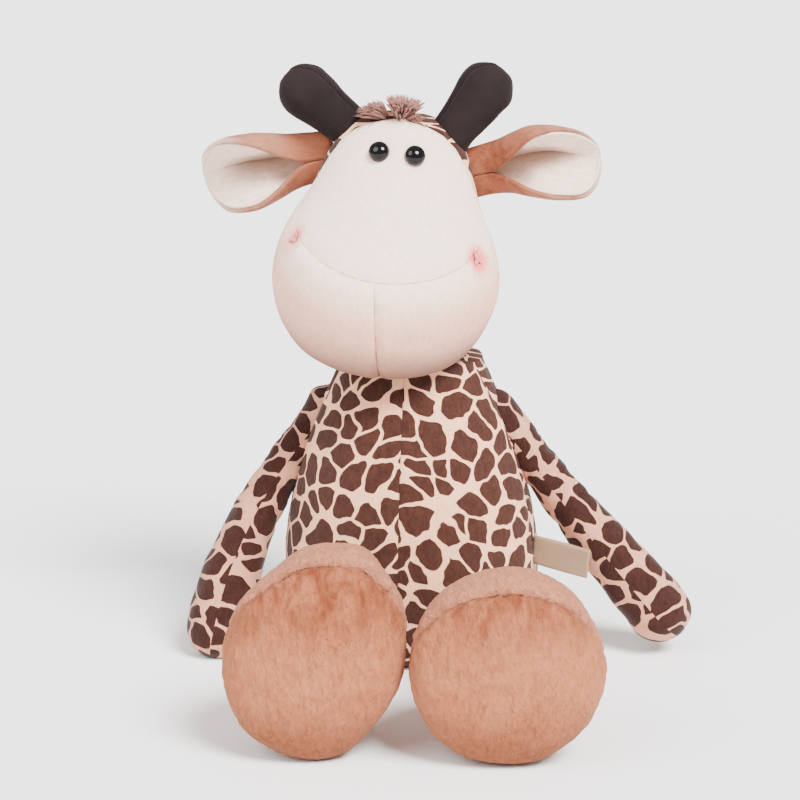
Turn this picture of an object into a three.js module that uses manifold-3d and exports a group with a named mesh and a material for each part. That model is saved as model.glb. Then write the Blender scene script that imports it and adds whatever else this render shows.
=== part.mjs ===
// A seated plush giraffe: sewn plush covers over polyester stuffing, with a pear-shaped body, a big
// muzzle, stuffed horns, folded ears, dangling arms and large round feet.
// Millimetres. +Z is up, the toy faces -Y, its own left is +X, and the origin is the middle of its
// flat seat.

import * as THREE from 'three';
import { mergeVertices } from 'three/addons/utils/BufferGeometryUtils.js';
import Module from 'manifold-3d';

const wasm = await Module();
wasm.setup();

const radians = THREE.MathUtils.degToRad;
const LEFT = 1;
const RIGHT = -1;
const X = new THREE.Vector3(1, 0, 0);
const Y = new THREE.Vector3(0, 1, 0);
const Z = new THREE.Vector3(0, 0, 1);

// Cloth and clearances
const plush = 2.2; // short-pile plush with its backing
const fit = 0.3; // gap between pieces that touch
const swing = 0.5; // gap round a limb's root, where it turns
const pass = 0.8; // gap where a limb swings past the cloth that it is sewn to
const reach = 60; // overrun of a cut that goes right through
const floorCut = 0.5; // depth a stuffed form is flattened where it rests
const weld = 1e-4; // points nearer to each other than this are one

// Body
const bodyWidth = 129;
const bodyDepth = 113;
const bodyHeight = 152;
const bodyTwist = -7; // degrees the body looks away from straight ahead
const sideSeam = -7; // the side seams lie this far in front of the middle
// [height, half width, front, back] as shares of the height, half the width and the depth
const bodyShares = [
  [0, 0.56, -0.28, 0.34],
  [0.02, 0.76, -0.37, 0.43],
  [0.06, 0.87, -0.41, 0.48],
  [0.12, 0.94, -0.435, 0.51],
  [0.21, 0.985, -0.46, 0.527],
  [0.32, 1, -0.478, 0.522],
  [0.42, 0.97, -0.478, 0.5],
  [0.53, 0.925, -0.46, 0.465],
  [0.63, 0.87, -0.43, 0.434],
  [0.73, 0.8, -0.39, 0.407],
  [0.83, 0.71, -0.345, 0.385],
  [0.91, 0.625, -0.295, 0.363],
  [0.97, 0.56, -0.26, 0.345],
  [0.995, 0.5, -0.23, 0.325],
  [1, 0, 0.05, 0.05],
];
const pouchWidth = 74;
const pouchDepth = 62;
const pouchHeight = 18;
const pouchLift = 12; // underside of the bean pouch, above the seat

// Neck, which the head turns and nods on
const neckRadius = 30;
const neckSet = 6; // behind the middle of the body
const neckLean = -4; // sideways
const neckDrop = 2; // centre below the top of the body
const headNod = [-12, 0, 8]; // up, at rest and down
const headTurn = 35;

// Head
const headWidth = 111;
const headDepth = 104.5;
const headHeight = 124.5;
const chinDrop = 3; // the chin hangs this far below the neck's centre
const headShift = -12.5; // sideways
const headSet = -6; // in front of the neck's centre
const headYaw = -4;
const headTilt = 6;
const headShares = [
  [0, 0, -0.19, -0.19],
  [0.012, 0.4, -0.42, 0.04],
  [0.035, 0.57, -0.49, 0.125],
  [0.075, 0.715, -0.555, 0.21],
  [0.125, 0.815, -0.6, 0.268],
  [0.18, 0.895, -0.628, 0.306],
  [0.26, 0.966, -0.646, 0.335],
  [0.34, 1, -0.642, 0.35],
  [0.42, 0.99, -0.613, 0.354],
  [0.5, 0.945, -0.56, 0.35],
  [0.565, 0.88, -0.502, 0.344],
  [0.63, 0.795, -0.435, 0.34],
  [0.7, 0.72, -0.373, 0.335],
  [0.77, 0.665, -0.32, 0.33],
  [0.84, 0.605, -0.273, 0.316],
  [0.905, 0.52, -0.22, 0.278],
  [0.955, 0.41, -0.158, 0.225],
  [0.985, 0.27, -0.086, 0.153],
  [1, 0, 0.03, 0.03],
];
const mouthRise = 57.5; // height of the mouth's seam on the front of the muzzle, above the chin
const mouthSlope = 25; // degrees that the seam climbs towards the back
const faceSeamSet = -11; // the face's seam at the crown, in front of the middle
const faceSeamSlope = 11; // degrees that it leans back on its way down

// Eyes, pushed through the face and locked from behind
const eyeRadius = 5.2;
const eyeBulge = 3.6;
const eyeFlange = 0.8;
const eyeSpread = 8.6;
const eyeDrop = 17; // below the crown
const eyeDome = 75; // degrees that the dome rounds through
const shankRadius = 1.6;
const shankLength = 9;
const washerRadius = 5;
const washerThickness = 1.6;

// Nostrils, worked in thread
const nostrilWidth = 5;
const nostrilHeight = 8;
const nostrilThickness = 1.6;
const nostrilSpread = 44.5;
const nostrilRise = 63; // above the chin

// Horns, and how far inside the head's sides and below its crown each root's middle lies
const hornLength = 58.5;
const hornRoot = 11;
const hornInset = 10.5;
const hornDrop = 14.5;
const hornBack = 3;
const hornSplay = { [LEFT]: 31, [RIGHT]: 57 };
const hornFlatShare = 0.86; // front to back against side to side
const hornBend = 15;
const hornGirthShares = [[0, 1], [0.25, 0.98], [0.5, 1.08], [0.75, 1.24], [0.9, 1.27], [1, 1.25]];

// Ears, folded at the root so that they cup forwards
const earLength = 63;
const earWidth = 48;
const earCloth = 2.4;
const earLining = 1.2;
const earRoot = 10;
const earNeck = 2; // the leaf starts this far from the middle of the root
const earHem = 3; // the lining stops this far inside the edge
const earInset = 0.5;
const earDrop = 29;
const earBack = 5;
const earLift = { [LEFT]: 18, [RIGHT]: -13 };
const earFlap = 20;
const earFace = 12; // degrees that the ear's open side turns down to the front
// [place along the leaf, share of the width], then [place, degrees that half of it bends through]
const earWidthShares = [[0, 0.92], [0.2, 0.94], [0.4, 0.98], [0.6, 1], [0.75, 0.96], [0.88, 0.79],
  [0.96, 0.5], [1, 0.3]];
const earCurlShares = [[0, 112], [0.2, 105], [0.4, 86], [0.6, 66], [0.8, 52], [1, 44]];

// Hair between the horns
const hairWidth = 15;
const hairDepth = 11;
const hairHeight = 15;
const hairSpread = 6.5;
const hairShift = -3;
const hairBack = -2;
const hairSink = 5;

// Arms, and how far inside the body's sides each shoulder lies
const armLength = 158;
const armRadius = 12;
const shoulderInset = 5;
const shoulderDrop = 30; // below the top of the body
const shoulderBack = 4;
const armSpread = { [LEFT]: 40, [RIGHT]: 24 };
const armForward = { [LEFT]: 1, [RIGHT]: 15 };
const leftArmBow = -1; // how far the middle stands out from a straight line
const rightArmBow = 9;
const armBow = { [LEFT]: leftArmBow, [RIGHT]: rightArmBow };
const armReachShares = { [LEFT]: 1, [RIGHT]: 0.925 }; // the right arm's slack shortens it
const armRaise = 75;
const armGirthShares = [[0, 1], [0.2, 0.86], [0.35, 0.88], [0.5, 1], [0.65, 1.16], [0.8, 1.29],
  [0.92, 1.34], [1, 1.3]];

// Legs, and how far inside the body's front each hip lies
const legRadius = 17.5;
const hipSpread = 34;
const hipInset = 3;
const hipLift = 3.5; // underside of the leg above the floor
const legDrop = 55;
const legLift = 25;
const legGirthShares = [[0, 1], [0.5, 0.97], [1, 1]];

// Feet
const footWidth = 84;
const footHeight = 95;
const footDepth = 71;
const leftSoleReach = 183; // front of the sole, before the middle of the seat
const rightSoleReach = 173;
const soleReach = { [LEFT]: leftSoleReach, [RIGHT]: rightSoleReach };
const leftFootSpread = 42;
const rightFootSpread = 44.5;
const footSpread = { [LEFT]: leftFootSpread, [RIGHT]: rightFootSpread };
const footSlumpShares = { [LEFT]: 0.04, [RIGHT]: -0.045 }; // wider and lower, or narrower and taller
const footPitch = { [LEFT]: 7, [RIGHT]: 0 };
const soleSeamShare = 0.36; // of the foot's depth, at the middle of its height
const soleSeamSlope = 18; // degrees that the seam leans back towards the underside
const ankleShares = [0.2, 0.85]; // below the foot's middle, and behind the front of the sole
// [depth, half width, top, bottom] as shares of the foot's depth, half its width and its height
const footShares = [
  [0, 0, 0, 0],
  [0.012, 0.3, -0.15, 0.15],
  [0.05, 0.62, -0.31, 0.31],
  [0.11, 0.84, -0.42, 0.42],
  [0.17, 0.935, -0.465, 0.468],
  [0.24, 0.985, -0.488, 0.495],
  [0.33, 1, -0.5, 0.5],
  [0.48, 0.975, -0.485, 0.5],
  [0.62, 0.89, -0.42, 0.498],
  [0.76, 0.755, -0.3, 0.49],
  [0.87, 0.62, -0.18, 0.47],
  [0.96, 0.46, -0.05, 0.42],
  [1, 0, 0.24, 0.24],
];

// Tail
const tailLength = 38;
const tailRadius = 4.6;
const tailRiseShare = 0.25; // of the body's height
const tuftLength = 24;
const tuftRadius = 7.5;
const tailFall = 36; // degrees below level
const tailSwing = 45;
const tailGirthShares = [[0, 1], [0.5, 0.9], [1, 0.95]];
const tuftGirthShares = [[0, 0.6], [0.3, 1], [0.7, 0.95], [1, 0.75]];

// Label in the left side seam
const labelLength = 30;
const labelHeight = 14.5;
const labelThickness = 1;
const labelRise = 54.5;
const labelTurn = 22; // degrees forward of straight out
const labelDip = 5; // degrees below level
const labelFlap = 50;

// How finely the covers, the limbs, what lies inside them and the space they turn in are faceted
const fine = { stations: 12, sides: 16 };
const outer = { stations: 8, sides: 12 };
const inner = { stations: 6, sides: 8 };
const clear = { stations: 10, sides: 8, round: true };
const small = { stations: 7, sides: 8 };
const neckSides = 22;
const topSides = 16;
const rootSides = 10;
const earSides = 12;
const tailSides = 8;
const roundSides = 12;

// Finishes
const finish = (color, roughness, metalness = 0) => () =>
  new THREE.MeshStandardMaterial({ color, roughness, metalness });
const creamPlush = finish(0xefe6df, 0.95);
const spottedPlush = finish(0x8a6252, 0.95);
const tanPlush = finish(0xd39f86, 0.95);
const darkPlush = finish(0x3d2f2e, 0.9);
const hairPile = finish(0xa1735f, 0.95);
const stuffing = finish(0xf6f4ee, 1);
const pellets = finish(0xe6e8ea, 0.6);
const blackPlastic = finish(0x15120f, 0.15);
const washerPlastic = finish(0xe9e9e4, 0.4);
const pinkThread = finish(0xe8b4ae, 0.8);
const ribbon = finish(0xe2cdb8, 0.6);

// The closed geometry as a solid that can be joined and cut.
function solidOf(geometry) {
  const bare = new THREE.BufferGeometry();
  bare.setAttribute('position', geometry.getAttribute('position'));
  if (geometry.index) bare.setIndex(geometry.index);
  const merged = mergeVertices(bare, weld);
  return new wasm.Manifold(new wasm.Mesh({
    numProp: 3,
    vertProperties: merged.getAttribute('position').array,
    triVerts: new Uint32Array(merged.index.array),
  }));
}

function geometryOf(solid) {
  const mesh = solid.getMesh();
  const geometry = new THREE.BufferGeometry();
  geometry.setAttribute('position', new THREE.BufferAttribute(mesh.vertProperties, mesh.numProp));
  geometry.setIndex(new THREE.BufferAttribute(mesh.triVerts, 1));
  return geometry;
}

// A closed skin over rings of equal count, each a list of points, with a zigzag across each end.
function skin(rings) {
  const count = rings[0].length;
  const triangles = [];
  for (let ring = 0; ring < rings.length - 1; ring++) {
    for (let i = 0; i < count; i++) {
      const a = ring * count + i;
      const b = ring * count + (i + 1) % count;
      triangles.push(a, b, b + count, a, b + count, a + count);
    }
  }
  const last = (rings.length - 1) * count;
  for (let low = 0, high = count - 1; high - low > 1; low++, high--) {
    for (const [a, b, c] of [[low, low + 1, high], [low + 1, high - 1, high]]) {
      if (a < b && b < c) triangles.push(c, b, a, last + a, last + b, last + c);
    }
  }
  const geometry = new THREE.BufferGeometry().setFromPoints(rings.flat());
  geometry.setIndex(triangles);
  return solidOf(geometry);
}

// Where a rising function of 0 to 1 reaches a value.
function whereIs(value, rising) {
  let low = 0;
  let high = 1;
  for (let halving = 0; halving < 24; halving++) {
    const middle = (low + high) / 2;
    if (rising(middle) < value) low = middle;
    else high = middle;
  }
  return low;
}

// The value at a place, along a smooth curve through [place, value] rows.
function along(rows, place) {
  const curve = new THREE.SplineCurve(rows.map((row) => new THREE.Vector2(...row)));
  return curve.getPoint(whereIs(place, (t) => curve.getPoint(t).x)).y;
}

const steps = (from, to, count) =>
  Array.from({ length: count + 1 }, (_, i) => from + (to - from) * i / count);
// From 0 to 1 in steps that are finer towards both ends.
const eased = (count) => steps(0, Math.PI, count).map((turn) => (1 - Math.cos(turn)) / 2);

// A stuffed form that swells and tapers as it rises. Its table's rows are shares of its sizes, and
// the form can be grown or shrunk by a distance.
class Stuffed {
  constructor(shares, width, depth, height) {
    Object.assign(this, { width, depth, height });
    this.sides = new THREE.SplineCurve(shares.map(([rise, half]) => new THREE.Vector2(half, rise)));
    this.ends = new THREE.SplineCurve(shares.map(([, , front, back]) => new THREE.Vector2(front, back)));
  }

  station(t, grow = 0) {
    const side = this.sides.getPoint(t);
    const end = this.ends.getPoint(t);
    return {
      rise: side.y * this.height + grow * (2 * side.y - 1),
      half: side.x * this.width / 2 + grow,
      deep: (end.y - end.x) * this.depth / 2 + grow,
      middle: (end.y + end.x) * this.depth / 2,
    };
  }

  // Its facets lie inside the round form, or all the way round it.
  solid(grow, { stations, sides, round = false }) {
    const rings = [];
    const out = round ? 1 / Math.cos(Math.PI / sides) : 1;
    for (const t of eased(stations)) {
      const { rise, half, deep, middle } = this.station(t, grow);
      if (half < plush / 2 || deep < plush / 2) continue;
      rings.push(steps(0, 2 * Math.PI, sides).slice(1).map((angle) => new THREE.Vector3(
        out * half * Math.cos(angle), middle + out * deep * Math.sin(angle), rise)));
    }
    return skin(rings);
  }

  at(rise) {
    return this.station(whereIs(rise, (t) => this.station(t).rise));
  }

  // The points of the front surface at a sideways place and of the left side at a depth.
  front(x, rise) {
    const { half, deep, middle } = this.at(rise);
    return new THREE.Vector3(x, middle - deep * Math.sqrt(1 - Math.min(1, (x / half) ** 2)), rise);
  }

  side(y, rise) {
    const { half, deep, middle } = this.at(rise);
    return new THREE.Vector3(half * Math.sqrt(1 - Math.min(1, ((y - middle) / deep) ** 2)), y, rise);
  }

  // The way out of the front surface there.
  outward(x, rise) {
    const sideways = this.front(x + plush, rise).sub(this.front(x - plush, rise));
    const upward = this.front(x, rise + plush).sub(this.front(x, rise - plush));
    return sideways.cross(upward).normalize();
  }
}

// A round stuffed limb along a spine, with domed ends, its girth a table of [place, share] rows.
function limb(spine, radius, girth, { stations, sides }, grow = 0, flat = 1) {
  const startDome = radius * along(girth, 0) / spine.getLength();
  const endDome = radius * along(girth, 1) / spine.getLength();
  const rings = [];
  for (const t of eased(stations)) {
    const dome = Math.max(0, 1 - t / startDome, 1 - (1 - t) / endDome);
    const size = radius * along(girth, t) * Math.sqrt(1 - Math.min(1, dome ** 2)) + grow;
    if (size < plush / 2) continue;
    const forward = spine.getTangentAt(t);
    const centre = spine.getPointAt(t).addScaledVector(forward, grow * (2 * t - 1));
    const deep = Y.clone().addScaledVector(forward, -Y.dot(forward)).normalize();
    const across = forward.clone().cross(deep);
    rings.push(steps(0, 2 * Math.PI, sides).slice(1).map((angle) => centre.clone()
      .addScaledVector(deep, size * flat * Math.cos(angle))
      .addScaledVector(across, size * Math.sin(angle))));
  }
  return skin(rings);
}

const ball = (radius, sides = rootSides) => solidOf(new THREE.SphereGeometry(radius, sides, sides / 2));
// A socket's facets lie outside the ball that turns in it.
const socket = (radius, sides = rootSides) => ball(radius / Math.cos(Math.PI / sides) ** 2, sides);
const blob = (width, depth, height, sides) => solidOf(new THREE.SphereGeometry(1, sides, sides / 2)
  .rotateX(Math.PI / 2).scale(width / 2, depth / 2, height / 2));

// A rod along Z between two heights.
function rod(radius, low, high) {
  const geometry = new THREE.CylinderGeometry(radius, radius, high - low, roundSides);
  return solidOf(geometry.rotateX(Math.PI / 2).translate(0, 0, (low + high) / 2));
}

const moved = (solid, matrix) => solid.transform(matrix.elements);
const shifted = (solid, to) => solid.translate(to.toArray());
const largest = (solid) => solid.decompose().sort((a, b) => b.volume() - a.volume())[0];
const less = (solid, ...cuts) => cuts.flat().reduce((left, cut) => left.subtract(cut), solid);
// What lies beyond a plane through a point, on the side that its normal points to, less a gap.
const beyond = (solid, normal, point, gap = 0) =>
  solid.trimByPlane(normal.toArray(), normal.dot(point) + gap);
const opposite = (axis) => axis.clone().negate();

// The limb less its neighbour, at every angle that the limb's joint turns it to.
function clearOf(solid, neighbour, axis, angles) {
  const turned = (angle) => moved(neighbour, new THREE.Matrix4().makeRotationAxis(axis, -radians(angle)));
  return largest(less(solid, angles.map(turned)));
}

// A group at a place in its parent, turned about axes through it.
function frame(parent, position, ...turns) {
  const group = new THREE.Group();
  group.position.copy(position);
  for (const [axis, angle] of turns) group.rotateOnAxis(axis, radians(angle));
  parent.add(group);
  group.updateWorldMatrix(true, false);
  return group;
}

// A group at a place, with one of its axes along a direction.
function facing(parent, position, axis, direction) {
  const group = frame(parent, position);
  group.quaternion.setFromUnitVectors(axis, direction);
  group.updateWorldMatrix(true, false);
  return group;
}

// A solid of one group as another sees it.
const seenFrom = (group, solid, from) =>
  moved(solid, group.matrixWorld.clone().invert().multiply(from.matrixWorld));

function add(group, name, solid, material) {
  const mesh = new THREE.Mesh(geometryOf(solid), material());
  mesh.name = name;
  group.add(mesh);
}

const both = [LEFT, RIGHT];
const sideName = (side) => (side === LEFT ? 'left' : 'right');
const forBoth = (make) => Object.fromEntries(both.map((side) => [side, make(side)]));

const toy = new THREE.Group();
toy.name = 'plush_giraffe';

// The forms of the body and head, and the frames in which the pieces stand: the body and the head
// look away from straight ahead, and each limb's frame stands at the seam that it turns on.
const bodyForm = new Stuffed(bodyShares, bodyWidth, bodyDepth, bodyHeight + floorCut);
const headForm = new Stuffed(headShares, headWidth, headDepth, headHeight);
const bodyFrame = frame(toy, new THREE.Vector3(), [Z, bodyTwist]);
const neckFrame = frame(bodyFrame, new THREE.Vector3(neckLean, neckSet, bodyHeight - neckDrop));
const headFrame = frame(neckFrame, new THREE.Vector3(), [Z, headYaw - bodyTwist], [Y, headTilt]);
const chin = new THREE.Vector3(headShift, headSet, -chinDrop);
const onHead = (x, y, rise) => new THREE.Vector3(x, y, rise).add(chin);
const shoulderRise = bodyHeight - shoulderDrop;
const shoulderSide = bodyForm.at(shoulderRise).half - shoulderInset;
const shoulders = forBoth((side) => frame(bodyFrame,
  new THREE.Vector3(side * shoulderSide, shoulderBack, shoulderRise), [Y, -side * armSpread[side]]));
const hipRise = legRadius + hipLift;
const hips = forBoth((side) => frame(toy, bodyForm.front(side * hipSpread, hipRise)
  .addScaledVector(Y, hipInset).applyAxisAngle(Z, radians(bodyTwist))));
const hornHeight = headHeight - hornDrop;
const hornSide = headForm.at(hornHeight).half - hornInset;
const horns = forBoth((side) => frame(headFrame, onHead(side * hornSide, hornBack, hornHeight),
  [Y, side * hornSplay[side]]));
const earHeight = headHeight - earDrop;
const earSide = headForm.at(earHeight).half - earInset;
const ears = forBoth((side) => frame(headFrame, onHead(side * earSide, earBack, earHeight),
  [Y, -side * earLift[side]], [X, earFace]));
const tailRise = bodyHeight * tailRiseShare;
const atTail = bodyForm.at(tailRise);
const tail = frame(bodyFrame, new THREE.Vector3(0, atTail.middle + atTail.deep, tailRise),
  [X, -90 - tailFall]);

// Body: two front panels with a seam down the belly, and a back panel that wraps under the seat.
const bodySolid = (grow, facets) => bodyForm.solid(grow, facets).translate([0, 0, -floorCut]);
const bodyRoom = bodySolid(pass, clear);
const aboveFloor = (solid, height = 0) => beyond(solid, Z, new THREE.Vector3(0, 0, height));
const rootSockets = both.flatMap((side) => [
  seenFrom(bodyFrame, socket(armRadius + swing), shoulders[side]),
  seenFrom(bodyFrame, socket(legRadius + swing), hips[side]),
]);
const neckSocket = seenFrom(bodyFrame, socket(neckRadius + fit, neckSides), neckFrame);
const tailSocket = seenFrom(bodyFrame, socket(tailRadius + swing, tailSides), tail);
const bodyCuts = [neckSocket, tailSocket, ...rootSockets];
const bodyInside = aboveFloor(bodySolid(-plush, inner), plush);
const bodyCover = less(aboveFloor(bodySolid(0, fine)), bodyInside, bodyCuts);
const seam = new THREE.Vector3(0, sideSeam, 0);
for (const side of both) {
  const sideways = X.clone().multiplyScalar(side);
  const panel = beyond(beyond(bodyCover, opposite(Y), seam, fit / 2), sideways, seam, fit / 2);
  add(bodyFrame, `body_front_${sideName(side)}`, largest(panel), spottedPlush);
}
add(bodyFrame, 'body_back', largest(beyond(bodyCover, Y, seam, fit / 2)), spottedPlush);

const pouchPlace = new THREE.Vector3(0, neckSet, pouchLift + pouchHeight / 2);
const pouchAt = (grow) => shifted(
  blob(pouchWidth + 2 * grow, pouchDepth + 2 * grow, pouchHeight + 2 * grow, topSides), pouchPlace);
const pouchMouth = shifted(rod(pouchHeight / 2, -reach, 0), pouchPlace);
const bodyFill = aboveFloor(bodySolid(-plush - fit, inner), plush + fit);
add(bodyFrame, 'body_stuffing', largest(less(bodyFill, bodyCuts, pouchAt(fit), pouchMouth)), stuffing);
add(bodyFrame, 'bean_pouch', pouchAt(0), pellets);

// Neck: a firm wad at the top of the body, which the head is drawn over and turns on.
add(neckFrame, 'neck_wad', ball(neckRadius, neckSides), spottedPlush);

// Head: the face above the mouth's seam, the muzzle's two halves below it, and the back.
const headSolid = (grow, facets) => shifted(headForm.solid(grow, facets), chin);
const eyes = forBoth((side) => facing(headFrame,
  headForm.front(side * eyeSpread, headHeight - eyeDrop).add(chin), Z,
  headForm.outward(side * eyeSpread, headHeight - eyeDrop)));
// The top of the body as a round shape about the neck, which clears the head however it is turned.
// Each ring is as wide as the body is one step lower, so that the body's curve stays inside.
const topRises = steps(shoulderRise, bodyHeight, 8);
const topProfile = topRises.map((rise, i) => {
  const { half, deep, middle } = bodyForm.at(topRises[Math.max(0, i - 1)] + floorCut);
  const round = Math.max(half, deep) + Math.hypot(neckLean, middle - neckSet) + swing;
  return new THREE.Vector2(round / Math.cos(Math.PI / topSides), rise - bodyHeight + neckDrop + swing);
});
const [topLow, topHigh] = [topProfile[0], topProfile.at(-1)].map(({ y }) => new THREE.Vector2(0, y));
const bodyTop = solidOf(new THREE.LatheGeometry([topLow, ...topProfile, topHigh], topSides)
  .rotateX(Math.PI / 2));
const headCuts = [
  socket(neckRadius + fit, neckSides),
  ...headNod.map((nod) => seenFrom(headFrame,
    moved(bodyTop, new THREE.Matrix4().makeRotationX(-radians(nod))), neckFrame)),
  ...both.flatMap((side) => [
    seenFrom(headFrame, socket(hornRoot + swing), horns[side]),
    seenFrom(headFrame, socket(earRoot + fit, earSides), ears[side]),
  ]),
];
const shankHoles = both.map((side) =>
  seenFrom(headFrame, rod(shankRadius + fit, -reach, reach), eyes[side]));
const washerRooms = (top) => both.map((side) =>
  seenFrom(headFrame, rod(washerRadius + fit, -shankLength - fit, top), eyes[side]));
const headCover = less(headSolid(0, fine), headSolid(-plush, inner), headCuts,
  shankHoles.map((hole) => hole.intersect(headSolid(plush, inner))), washerRooms(-plush));
const crown = onHead(0, faceSeamSet, headHeight);
const faceSeam = Y.clone().applyAxisAngle(X, radians(faceSeamSlope));
const mouth = onHead(0, -headDepth / 2, mouthRise);
const mouthSeam = Z.clone().applyAxisAngle(X, radians(mouthSlope));
const headFront = beyond(headCover, opposite(faceSeam), crown, fit / 2);
const muzzle = beyond(headFront, opposite(mouthSeam), mouth, fit / 2);
add(headFrame, 'head_back', largest(beyond(headCover, faceSeam, crown, fit / 2)), spottedPlush);
add(headFrame, 'face', largest(beyond(headFront, mouthSeam, mouth, fit / 2)), creamPlush);
for (const side of both) {
  const half = beyond(muzzle, X.clone().multiplyScalar(side), chin, fit / 2);
  add(headFrame, `muzzle_${sideName(side)}`, largest(half), creamPlush);
}
const headFill = less(headSolid(-plush - fit, inner), headCuts, washerRooms(reach));
add(headFrame, 'head_stuffing', largest(headFill), stuffing);

// Eyes: a dome with a flange and a shank, and the washer that locks it behind the cloth.
const eyeProfile = [[0, -shankLength], [shankRadius, -shankLength], [shankRadius, fit], [eyeRadius, fit],
  ...steps(0, eyeDome, 4).map((turn) => [eyeRadius * Math.cos(radians(turn)),
    fit + eyeFlange + eyeBulge * Math.sin(radians(turn))]),
  [0, fit + eyeFlange + eyeBulge]].map((point) => new THREE.Vector2(...point));
for (const side of both) {
  const dome = solidOf(new THREE.LatheGeometry(eyeProfile, topSides).rotateX(Math.PI / 2));
  add(eyes[side], `eye_${sideName(side)}`, dome, blackPlastic);
  const washer = rod(washerRadius, -plush - fit - washerThickness, -plush - fit);
  add(eyes[side], `eye_washer_${sideName(side)}`,
    washer.subtract(rod(shankRadius + fit / 2, -reach, reach)), washerPlastic);
}

// Nostrils: a few pink stitches that lie on the muzzle.
const headSkin = headSolid(fit, fine);
const headRoom = headSolid(pass, clear);
for (const side of both) {
  const nostril = facing(headFrame, headForm.front(side * nostrilSpread, nostrilRise).add(chin),
    opposite(Y), headForm.outward(side * nostrilSpread, nostrilRise));
  const stitches = blob(nostrilWidth, 2 * nostrilThickness + fit, nostrilHeight, roundSides);
  add(nostril, `nostril_${sideName(side)}`,
    largest(stitches.subtract(seenFrom(nostril, headSkin, headFrame))), pinkThread);
}

// Horns: stuffed clubs, open at the root where they are sewn on.
const hornSpine = new THREE.LineCurve3(new THREE.Vector3(0, 0, -hornRoot),
  new THREE.Vector3(0, 0, hornLength - hornRoot));
const hornShape = (grow, facets = small) =>
  limb(hornSpine, hornRoot, hornGirthShares, facets, grow, hornFlatShare);
const turningHole = (radius, away) =>
  rod(radius / 3, away > 0 ? 0 : -reach, away > 0 ? reach : 0);
for (const side of both) {
  const head = seenFrom(horns[side], headRoom, headFrame).subtract(socket(hornRoot + fit));
  const outside = clearOf(hornShape(0), head, X, [-hornBend, 0, hornBend]);
  const cover = less(outside, hornShape(-plush, inner), turningHole(hornRoot, -1));
  add(horns[side], `horn_${sideName(side)}`, largest(cover), darkPlush);
  const fill = hornShape(-plush - fit, inner).intersect(outside);
  add(horns[side], `horn_stuffing_${sideName(side)}`, largest(fill), stuffing);
}

// Ears: a tan back and a cream lining, both curled leaves, the back gathered into a padded root.
function leaf(side, depth, thickness, hem) {
  const span = earLength - earNeck;
  const within = (value, low, high, margin) =>
    THREE.MathUtils.clamp(value, low + margin, high - margin);
  const rings = steps(0, 1, 7).map((step) => {
    const share = within(step, 0, 1, hem / span);
    const bend = radians(along(earCurlShares, share));
    const radius = earWidth * along(earWidthShares, share) / (2 * bend);
    const edge = (k, away) => {
      const angle = bend * within(k, -1, 1, hem / (radius * bend));
      return new THREE.Vector3(side * (earNeck + span * share),
        earWidth / 4 - radius + away * Math.cos(angle), away * Math.sin(angle));
    };
    const ring = [...steps(-1, 1, 6).map((k) => edge(k, radius - depth)),
      ...steps(1, -1, 6).map((k) => edge(k, radius - depth - thickness))];
    return side === LEFT ? ring : ring.reverse();
  });
  return skin(rings);
}
for (const side of both) {
  const head = seenFrom(ears[side], headRoom, headFrame).subtract(socket(earRoot + fit, earSides));
  const flaps = steps(-earFlap, earFlap, 4);
  const back = leaf(side, 0, earCloth, 0).add(ball(earRoot, earSides));
  const lining = less(leaf(side, earCloth + fit, earLining, earHem),
    socket(earRoot + fit, earSides), leaf(side, -fit, earCloth + 2 * fit, 0));
  add(ears[side], `ear_back_${sideName(side)}`, clearOf(back, head, Z, flaps), tanPlush);
  add(ears[side], `ear_lining_${sideName(side)}`, clearOf(lining, head, Z, flaps), creamPlush);
}

// Hair: two tufts between the horns.
const hairTuft = (side) =>
  blob(hairWidth, hairDepth, hairHeight, roundSides).translate([side * hairSpread, 0, 0]);
const hairPlace = onHead(hairShift, hairBack, headHeight + hairHeight / 2 - hairSink);
const hornsSwept = both.flatMap((side) => [-hornBend, 0, hornBend].map((bend) => seenFrom(headFrame,
  moved(hornShape(fit, inner), new THREE.Matrix4().makeRotationX(radians(bend))), horns[side])));
const hair = less(shifted(hairTuft(LEFT).add(hairTuft(RIGHT)), hairPlace), headSkin, hornsSwept);
add(headFrame, 'hair', largest(hair), hairPile);

// Arms: sleeves that swell to the hand, open at the root where they are sewn on.
for (const side of both) {
  const bow = side * armBow[side];
  const slope = Math.tan(radians(armForward[side]));
  const onArm = (share, out) => {
    const down = (armLength - armRadius) * armReachShares[side] * share;
    return new THREE.Vector3(out, -down * slope, -down);
  };
  const spine = new THREE.CatmullRomCurve3([new THREE.Vector3(0, 0, armRadius), onArm(0, 0),
    onArm(1 / 3, bow), onArm(2 / 3, bow), onArm(1, 0)]);
  const shape = (grow, facets) => limb(spine, armRadius, armGirthShares, facets, grow);
  const body = seenFrom(shoulders[side], bodyRoom, bodyFrame).subtract(socket(armRadius + fit));
  const outside = clearOf(shape(0, outer), body, Y, steps(0, -side * armRaise, 5));
  const cover = less(outside, shape(-plush, inner), turningHole(armRadius, 1));
  add(shoulders[side], `arm_${sideName(side)}`, largest(cover), spottedPlush);
  const fill = shape(-plush - fit, inner).intersect(outside);
  add(shoulders[side], `arm_stuffing_${sideName(side)}`, largest(fill), stuffing);
}

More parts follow.
